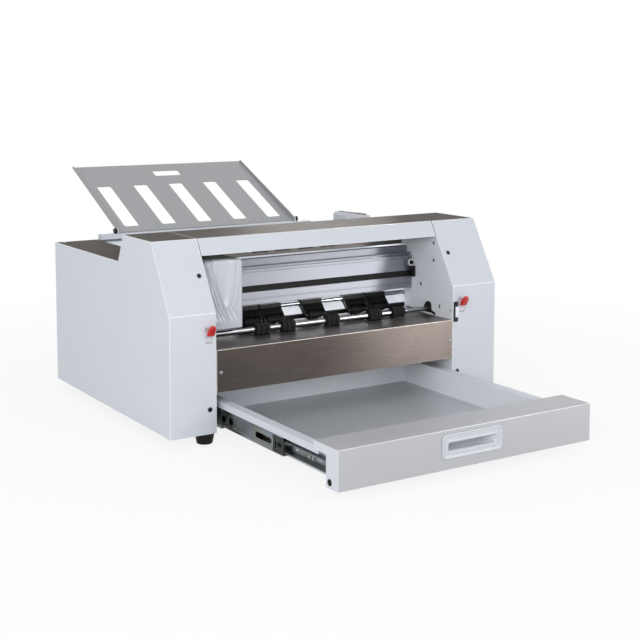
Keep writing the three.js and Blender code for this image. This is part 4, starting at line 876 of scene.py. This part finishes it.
def build_carriage_cover():
    """The moulded cover: a skin of rings from its foot to its domed top, pressed in by the relief."""
    x0, x1, front, back, low, high = 83.5, 154.5, 47.9, 108.9, 152, 263
    big, small = 20, 5
    levels = [low + i for i in range(88)]
    levels += [240 + 23 * sin(radians(a)) for a in range(4, 90, 5)] + [high]
    rings = []
    for z in levels:
        def inset(radius):
            over = max(0.0, z - (high - radius))
            return radius - sqrt(max(0.0, radius * radius - over * over))

        def corner(middle, radius, start, count):
            turns = [start + pi / 2 * i / count for i in range(count)]
            facing = [(cos(turn), sin(turn)) for turn in turns]
            return [(middle + radius * nx, near + radius + radius * ny, nx, ny) for nx, ny in facing]

        left, right, near = x0 + inset(11), x1 - inset(5), front + inset(5)
        path = [(left, back + (near + big - back) * i / 14, -1, 0) for i in range(14)]
        path += corner(left + big, big, pi, 20)
        path += [(left + big + (right - small - left - big) * i / 52, near, 0, -1) for i in range(52)]
        path += corner(right - small, small, -pi / 2, 10)
        path += [(right, near + small + (back - near - small) * i / 14, 1, 0) for i in range(15)]
        ring = []
        for i, (x, y, nx, ny) in enumerate(path):
            # u is the place along the skin, which goes on round the left corner (rows 14 to 33)
            u = x if i >= 34 else x0 + big - (34 - i) * 1.57 if i >= 14 else x0 + big - 31.4 - (14 - i) * 3
            deep = relief(u, z) * swell((152.5 - x) / 7) * swell((u - 62) / 14)
            ring.append((x - nx * deep, y - ny * deep, z))
        rings.append(ring)
    bm = loft(rings, closed=False, caps=False)
    bm.faces.new(list(bm.verts)[-len(rings[0]):])
    bmesh.ops.recalc_face_normals(bm, faces=bm.faces)
    top = max(bm.faces, key=lambda f: f.calc_center_median().z)
    if top.normal.z < 0:
        bmesh.ops.reverse_faces(bm, faces=bm.faces)
    piece("carriage_cover_skin", bm, "polished_abs", "carriage", ("carriage_cover",), wall=2, smooth_angle=50)


def build_blade_holder():
    """Blade holder: a knurled barrel in a clamp block, with its foot round the blade's tip."""
    low, high = in_layout(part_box("blade_holder"))
    x, y = 119, 97.2
    tip, top = low.z, high.z
    barrel = [(tip, 2.2), (tip + 2, 3.6), (tip + 5, 5.2), (tip + 8, 7.2), (tip + 9, 8), (tip + 20, 8),
              (tip + 21, 7.4), (top - 14, 7.4)]
    body = turned("Z", (x, y), barrel, 44)
    grip = turned("Z", (x, y), [(top - 13, 8.6), (top - 1, 8.6), (top, 7.8)], 72, toothed(low=0.95))
    piece("blade_barrel", together(body, grip), "ground_steel", "blade", ("blade_holder",))
    clamp = block(low.x, high.x, y - 7, high.y, tip + 26, tip + 42, 1.0)
    screw = turned("Y", (x + 9, tip + 34), [(y - 9.5, 2.6), (y - 9, 3), (y - 6.8, 3)], 24)
    piece("blade_clamp", together(clamp, screw), "black_abs", "blade")


# ---- drawer ----

SLIDE_PARTS = {
    # name: (outline path in X and Z, front, rear, holes in Y and Z, body); {} is the side
    "outer": (
        [(104.3, 36.6), (102.6, 37.5), (92.8, 37.5), (92.8, 30), (93.4, 29), (93.4, 11), (92.8, 10),
         (92.8, 2.5), (102.6, 2.5), (104.3, 3.4)], 10, 360,
        [(22, 34, 17, 23), (80, 96, 17, 23), (200, 206, 17, 23), (320, 332, 17, 23)], "housing"),
    "middle": (
        [(104, 33.2), (102.4, 34), (94.3, 34), (94.3, 28.4), (95.5, 26.6), (95.5, 13.4), (94.3, 11.6),
         (94.3, 6), (102.4, 6), (104, 6.8)], -177, 173,
        [(-182, -147, 7.8, 32.2), (0, 17, 14, 23), (-24, -10, 14, 25), (-142, -94, 15, 24), (60, 72, 15, 23),
         (120, 160, 15, 23)], "{}_middle_slide"),
    "inner": (
        [(95.8, 11.2), (97.4, 10.5), (105.5, 10.5), (105.5, 14), (105.0, 14.8), (105.0, 25.2), (105.5, 26),
         (105.5, 29.5), (97.4, 29.5), (95.8, 28.8)], -310, 40,
        [(-234, -227, 15, 21), (-243, -238, 14, 22), (-268, -250, 18.4, 21.6), (-205, -193, 18, 22)],
        "drawer"),
}


def build_slides():
    """Telescopic slides: three pressed members a side, with a black ball retainer in the middle one."""
    sheet = 1.2
    for side in ("left", "right"):
        def on_side(bm):
            return bm if side == "left" else across(bm, MIDDLE_X)

        for member, (path, front, rear, holes, body) in SLIDE_PARTS.items():
            node = f"{side}_slide_{member}"
            span = (103.8, 106.5) if member == "inner" else (92, 97.2)
            outlines = [stadium(*hole) if hole[3] - hole[2] < 12 else rectangle(*hole, 3) for hole in holes]
            tools = [prism("X", outline, *span) for outline in outlines]
            strip = bevelled(cut(prism("Y", ribbon(path, sheet), front, rear), *tools), 0.3, angle=40)
            piece(node + "_pressed", on_side(strip), "zinc_plate", body.format(side), (node,))
            if member == "outer":
                spacers = [block(80.3, 93, y - 15, y + 15, 8, 32, 0.8) for y in (80, 202.5, 325)]
                piece(f"{side}_slide_spacers", on_side(together(*spacers)), "zinc_plate")
        middle = f"{side}_middle_slide"
        plate = rounded([(-178, 8.2), (-146, 8.2), (-146, 13), (-150, 15), (-150, 25), (-146, 27),
                         (-146, 31.8), (-178, 31.8)], [2, 1, 1, 2, 2, 1, 1, 2])
        windows = [stadium(-172, -160, 17, 23), stadium(-157, -153, 13, 27)]
        body = cut(prism("X", plate, 95.0, 96.2, 0.25), *[prism("X", window, 93, 97) for window in windows])
        rails = [block(96.0, 102.8, -176, -60, z0, z1, 0.3) for z0, z1 in ((29.75, 32.6), (7.4, 10.25))]
        piece(f"{side}_slide_retainer", on_side(together(body, *rails)), "black_abs", middle)
        balls = bmesh.new()
        for k in range(14):
            for z in (31.15, 8.85):
                place = Matrix.Translation((103.2, -172 + 8 * k, z))
                bmesh.ops.create_icosphere(balls, subdivisions=2, radius=1.55, matrix=place)
        piece(f"{side}_slide_balls", on_side(balls), "ground_steel", middle)


PULL_RINGS = (
    # y, x0, x1, z0, z1, corner: from behind the panel, over the rim and down into the pocket
    (-318.4, 263, 362, 21, 47, 5), (-340.2, 263, 362, 21, 47, 5), (-340.25, 257.5, 367.5, 16, 52, 7),
    (-341.5, 257.5, 367.5, 16, 52, 7), (-342.1, 258.1, 366.9, 16.6, 51.4, 6.6),
    (-342.3, 259.1, 365.9, 17.6, 50.4, 6), (-342.1, 260.2, 364.8, 18.7, 49.3, 5.4),
    (-341.2, 260.9, 364.1, 19.4, 48.6, 5), (-341.1, 264.6, 360.4, 23.1, 42.9, 4),
    (-341.7, 265.6, 359.4, 24.1, 41.9, 3.6), (-341.9, 266.5, 358.5, 25, 41, 3.4),
    (-341.6, 267.6, 357.4, 26.1, 39.9, 3.2), (-340.6, 268.5, 356.5, 27, 39, 3),
    (-338.6, 269.2, 355, 28.2, 38.8, 3), (-337.2, 269.8, 353.6, 28.0, 38.7, 3),
    (-336.0, 270.2, 352.4, 26.4, 38.6, 3), (-326, 274, 343, 24, 38.4, 3),
    (-321, 277, 338, 23.6, 37.8, 3), (-320.4, 279, 336, 25, 36.4, 3),
)


def build_pull():
    """Recessed pull: a beaded rim, a sunk flat, and a pocket whose floor rises behind a finger lip."""
    rings = [[placed("Y", y, u, v) for u, v in rectangle(x0, x1, z0, z1, corner, 8)]
             for y, x0, x1, z0, z1, corner in PULL_RINGS]
    piece("drawer_pull_moulded", loft(rings), "moulded_abs", "drawer", ("drawer_pull",), smooth_angle=50)


def build_drawer_trim():
    """A rubber bumper on the side of the drawer front."""
    bumper = turned("X", (-320, 9), [(81.2, 3.2), (81.5, 4.3), (82.1, 4.9), (82.6, 5)], 32)
    piece("drawer_bumper", bumper, "rubber", "drawer")


# ---- levers, sensor, controls ----

GRIP_RINGS = (
    # z, y0, y1, x0, x1 from the lever's middle, corner
    (155.3, -4.8, -1.4, -4.6, 4.6, 1.2), (155.7, -6.2, -0.8, -5.6, 5.6, 1.8), (156.6, -7.4, -0.5, -6, 6, 2.2),
    (160, -9.3, -1.6, -6.1, 6.2, 2.4), (164.5, -11.4, -4, -5.6, 6.4, 2.6), (168, -12.8, -6, -4.6, 6.2, 2.6),
    (170.6, -13.4, -7.6, -3.4, 5, 2.6), (172.1, -13, -8.6, -2.2, 3.4, 2), (172.6, -12, -9.4, -1, 2, 0.9),
)
LEVER_AXIS = (7, 147)


def build_levers():
    """Release levers: a white drum and neck that fill the slot, and a red grip that leans forward."""
    neck = rounded([(1.7, 147), (10, 147), (3.7, 156), (3.7, 165.7), (1.7, 165.7), (1.7, 161.4),
                    (-4.6, 160.4), (-2.6, 156.4), (1.7, 155.4)], [0.5, 1, 1, 0.6, 0.4, 0.6, 1, 1, 0.6])
    for side, x in (("left", 68), ("right", 565)):
        body = f"{side}_lever"
        node = f"{side}_release_lever"
        rings = [[(x + u, v, z) for u, v in rectangle(x0, x1, y0, y1, corner, 4)]
                 for z, y0, y1, x0, x1, corner in GRIP_RINGS]
        piece(node + "_grip", loft(rings), "red_abs", body, (node,), smooth_angle=60)
        drum = turned("X", LEVER_AXIS, rod(x - 6.6, x + 6.6, 6.4, 0.5, 0.5), 48)
        ends = (x - 5.6, OPEN_LEFT) if side == "left" else (OPEN_RIGHT, x + 5.6)
        pin = turned("X", LEVER_AXIS, rod(*ends, 3, 0.4, 0.4), 28)
        arm = prism("X", neck, x - 6.6, x + 6.6, 0.3)
        piece(f"{side}_lever_arm", together(drum, arm, pin), "moulded_abs", body)
        liner = block(x - 7.6, x + 7.6, 1.9, 17, 132, 176, 1.5)
        liner = cut(liner, block(x - 6.9, x + 6.9, 1, 16, 133, 175, 0.5))
        liner = cut(liner, turned("X", LEVER_AXIS, [(x - 9, 3.5), (x + 9, 3.5)], 28))
        piece(f"{side}_lever_liner", liner, "moulded_abs")


def build_sensor():
    """Edge sensor: a black clip with two blocks, and a pale window between them."""
    outline = rounded([(547.5, 127.2), (556.1, 127.2), (556.1, 134.6), (550.2, 134.6), (550.2, 153.6),
                       (556.1, 153.6), (556.1, 161.8), (547.5, 161.8)], 0.6, 3)
    clip = prism("Y", outline, -1.2, 3, 0.3)
    piece("edge_sensor_clip", clip, "panel_gloss", stands_for=("edge_sensor",))
    piece("edge_sensor_window", block(550.4, 558.2, -1.5, -0.2, 134.8, 153.4, 0.5), "pale_coat_and_bend_highlight")


def build_panel():
    """Touch panel: a black slab that stands a little proud of the pod's sloping top."""
    low, high = in_layout(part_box("touch_panel"))
    tilt = atan2(8, 60)
    slab = block(-22.5, 22.5, -17, 17, -1.5, 1.3, 0.5)
    middle = (low + high) / 2
    place = Matrix.Translation((middle.x - 0.3, middle.y, middle.z + 0.9))
    slab.transform(place @ Matrix.Rotation(tilt, 4, "Y"))
    piece("touch_panel_slab", slab, "panel_gloss", stands_for=("touch_panel",))


def build_rear():
    """Inlet pins in their socket, and the rocker of the power switch."""
    outside = 480.8
    for i, (x, z) in enumerate(((42, 53.6), (35.2, 48.4), (48.8, 48.4))):
        pin = block(x - 1, x + 1, outside - 13.8, outside - 3, z - 2, z + 2, 0.4)
        piece(f"inlet_pin_{i + 1}", pin, "ground_steel")
    outline = rounded([(475.6, 70.7), (480.9, 70.7), (482.6, 72.2), (480.2, 76.6), (481.4, 81.4),
                       (480.6, 82.3), (475.6, 82.3)], [0.4, 0.6, 1.0, 3.5, 0.6, 0.5, 0.4], 4)
    rocker = prism("X", outline, 30.2, 53.8, 0.35)
    piece("power_rocker", rocker, "black_abs", "power_switch", ("power_switch",))


def build_electronics():
    """Control board with its chips, sockets and capacitors, and the supply's terminal strip."""
    soften("control_board", 0.2)
    card = in_layout(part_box("control_board"))[1].x
    chips = [block(card - 0.1, card + 2.2, y - w / 2, y + w / 2, z - h / 2, z + h / 2, 0.25)
             for y, z, w, h in ((290, 115, 20, 20), (330, 130, 14, 14), (365, 100, 12, 18), (265, 80, 10, 14),
                                (320, 85, 16, 8), (390, 140, 12, 12))]
    cans = [turned("X", (y, z), [(card - 0.1, r), (card + 9, r), (card + 9.4, r - 0.6)], 28)
            for y, z, r in ((400, 80, 5), (414, 80, 5), (400, 95, 4), (414, 95, 4), (270, 140, 4))]
    plugs = [cut(block(card - 0.1, card + 7, y - 9, y + 9, 156, 164, 0.3),
                 prism("X", rectangle(y - 8, y + 8, 157.2, 162.8), card + 1.5, card + 8))
             for y in range(262, 383, 24)]
    piece("board_chips", together(*chips), "black_abs")
    piece("board_capacitors", together(*cans), "ground_steel")
    piece("board_sockets", together(*plugs), "moulded_abs")
    low, high = in_layout(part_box("power_supply"))
    piece("supply_terminals", block(low.x + 4, high.x - 4, low.y - 6, low.y + 0.2, 12, 24, 0.5), "black_abs")
    head = [(low.y - 7.2, 2.2), (low.y - 6.8, 2.6), (low.y - 5.8, 2.6)]
    studs = [turned("Y", (low.x + 8 + k * 8.5, 18), head, 20) for k in range(5)]
    piece("supply_studs", together(*studs), "ground_steel")


# ---- feed tray ----

def build_tray_trim():
    """Black bolts that the tray turns on, and the hem along the outside of each flange."""
    turn = Matrix.Translation((MIDDLE_X, 470, 267.5)) @ Matrix.Rotation(radians(25.5), 4, "X")
    hem_radius = 1.25
    for side, sign in (("left", -1), ("right", 1)):
        flange = sign * 192

        def bar(near, far, radius, count):
            """A plain round or six-sided bar, outward from the flange."""
            ends = sorted((flange + sign * near, flange + sign * far))
            return turned("X", (0, 0), [(x, radius) for x in ends], count)

        lo, hi = sorted((flange + sign * 2.9, flange + sign * 7.9))
        bolt = turned("X", (0, 0), [(lo, 4.3), (lo + 0.4, 4.8), (hi - 0.6, 4.8), (hi, 4.2)], 6)
        bolt = together(cut(bolt, bar(5.5, 8.9, 2.3, 6)), bar(2.5, 3.1, 4.9, 32))
        bolt.transform(turn)
        piece(f"tray_bolt_{side}", bolt, "black_oxide", "feed_tray")
        x = flange - sign * 0.9
        rim = [(x + hem_radius * cos(pi / 5 * a), hem_radius * sin(pi / 5 * a)) for a in range(10)]
        hem = loft([[(u, y, z + v) for u, v in rim] for y, z in ((16, 4.9), (246.5, 0.5))])
        hem.transform(turn)
        piece(f"tray_hem_{side}", hem, "tray_paint", "feed_tray")


bpy.context.scene.view_settings.view_transform = "Standard"
build_camera()
build_world()
build_floor()
build_lights()
build_materials()
dress_frame()
build_sheet_work()
build_seams()
build_feet()
place_screws()
build_exit_shaft()
build_pinch_rollers()
build_drive_rollers()
build_belt()
build_pulleys()
build_motors()
build_beam()
build_beam_end()
build_carriage_cover()
build_blade_holder()
build_slides()
build_pull()
build_drawer_trim()
build_levers()
build_sensor()
build_panel()
build_rear()
build_electronics()
build_tray_trim()
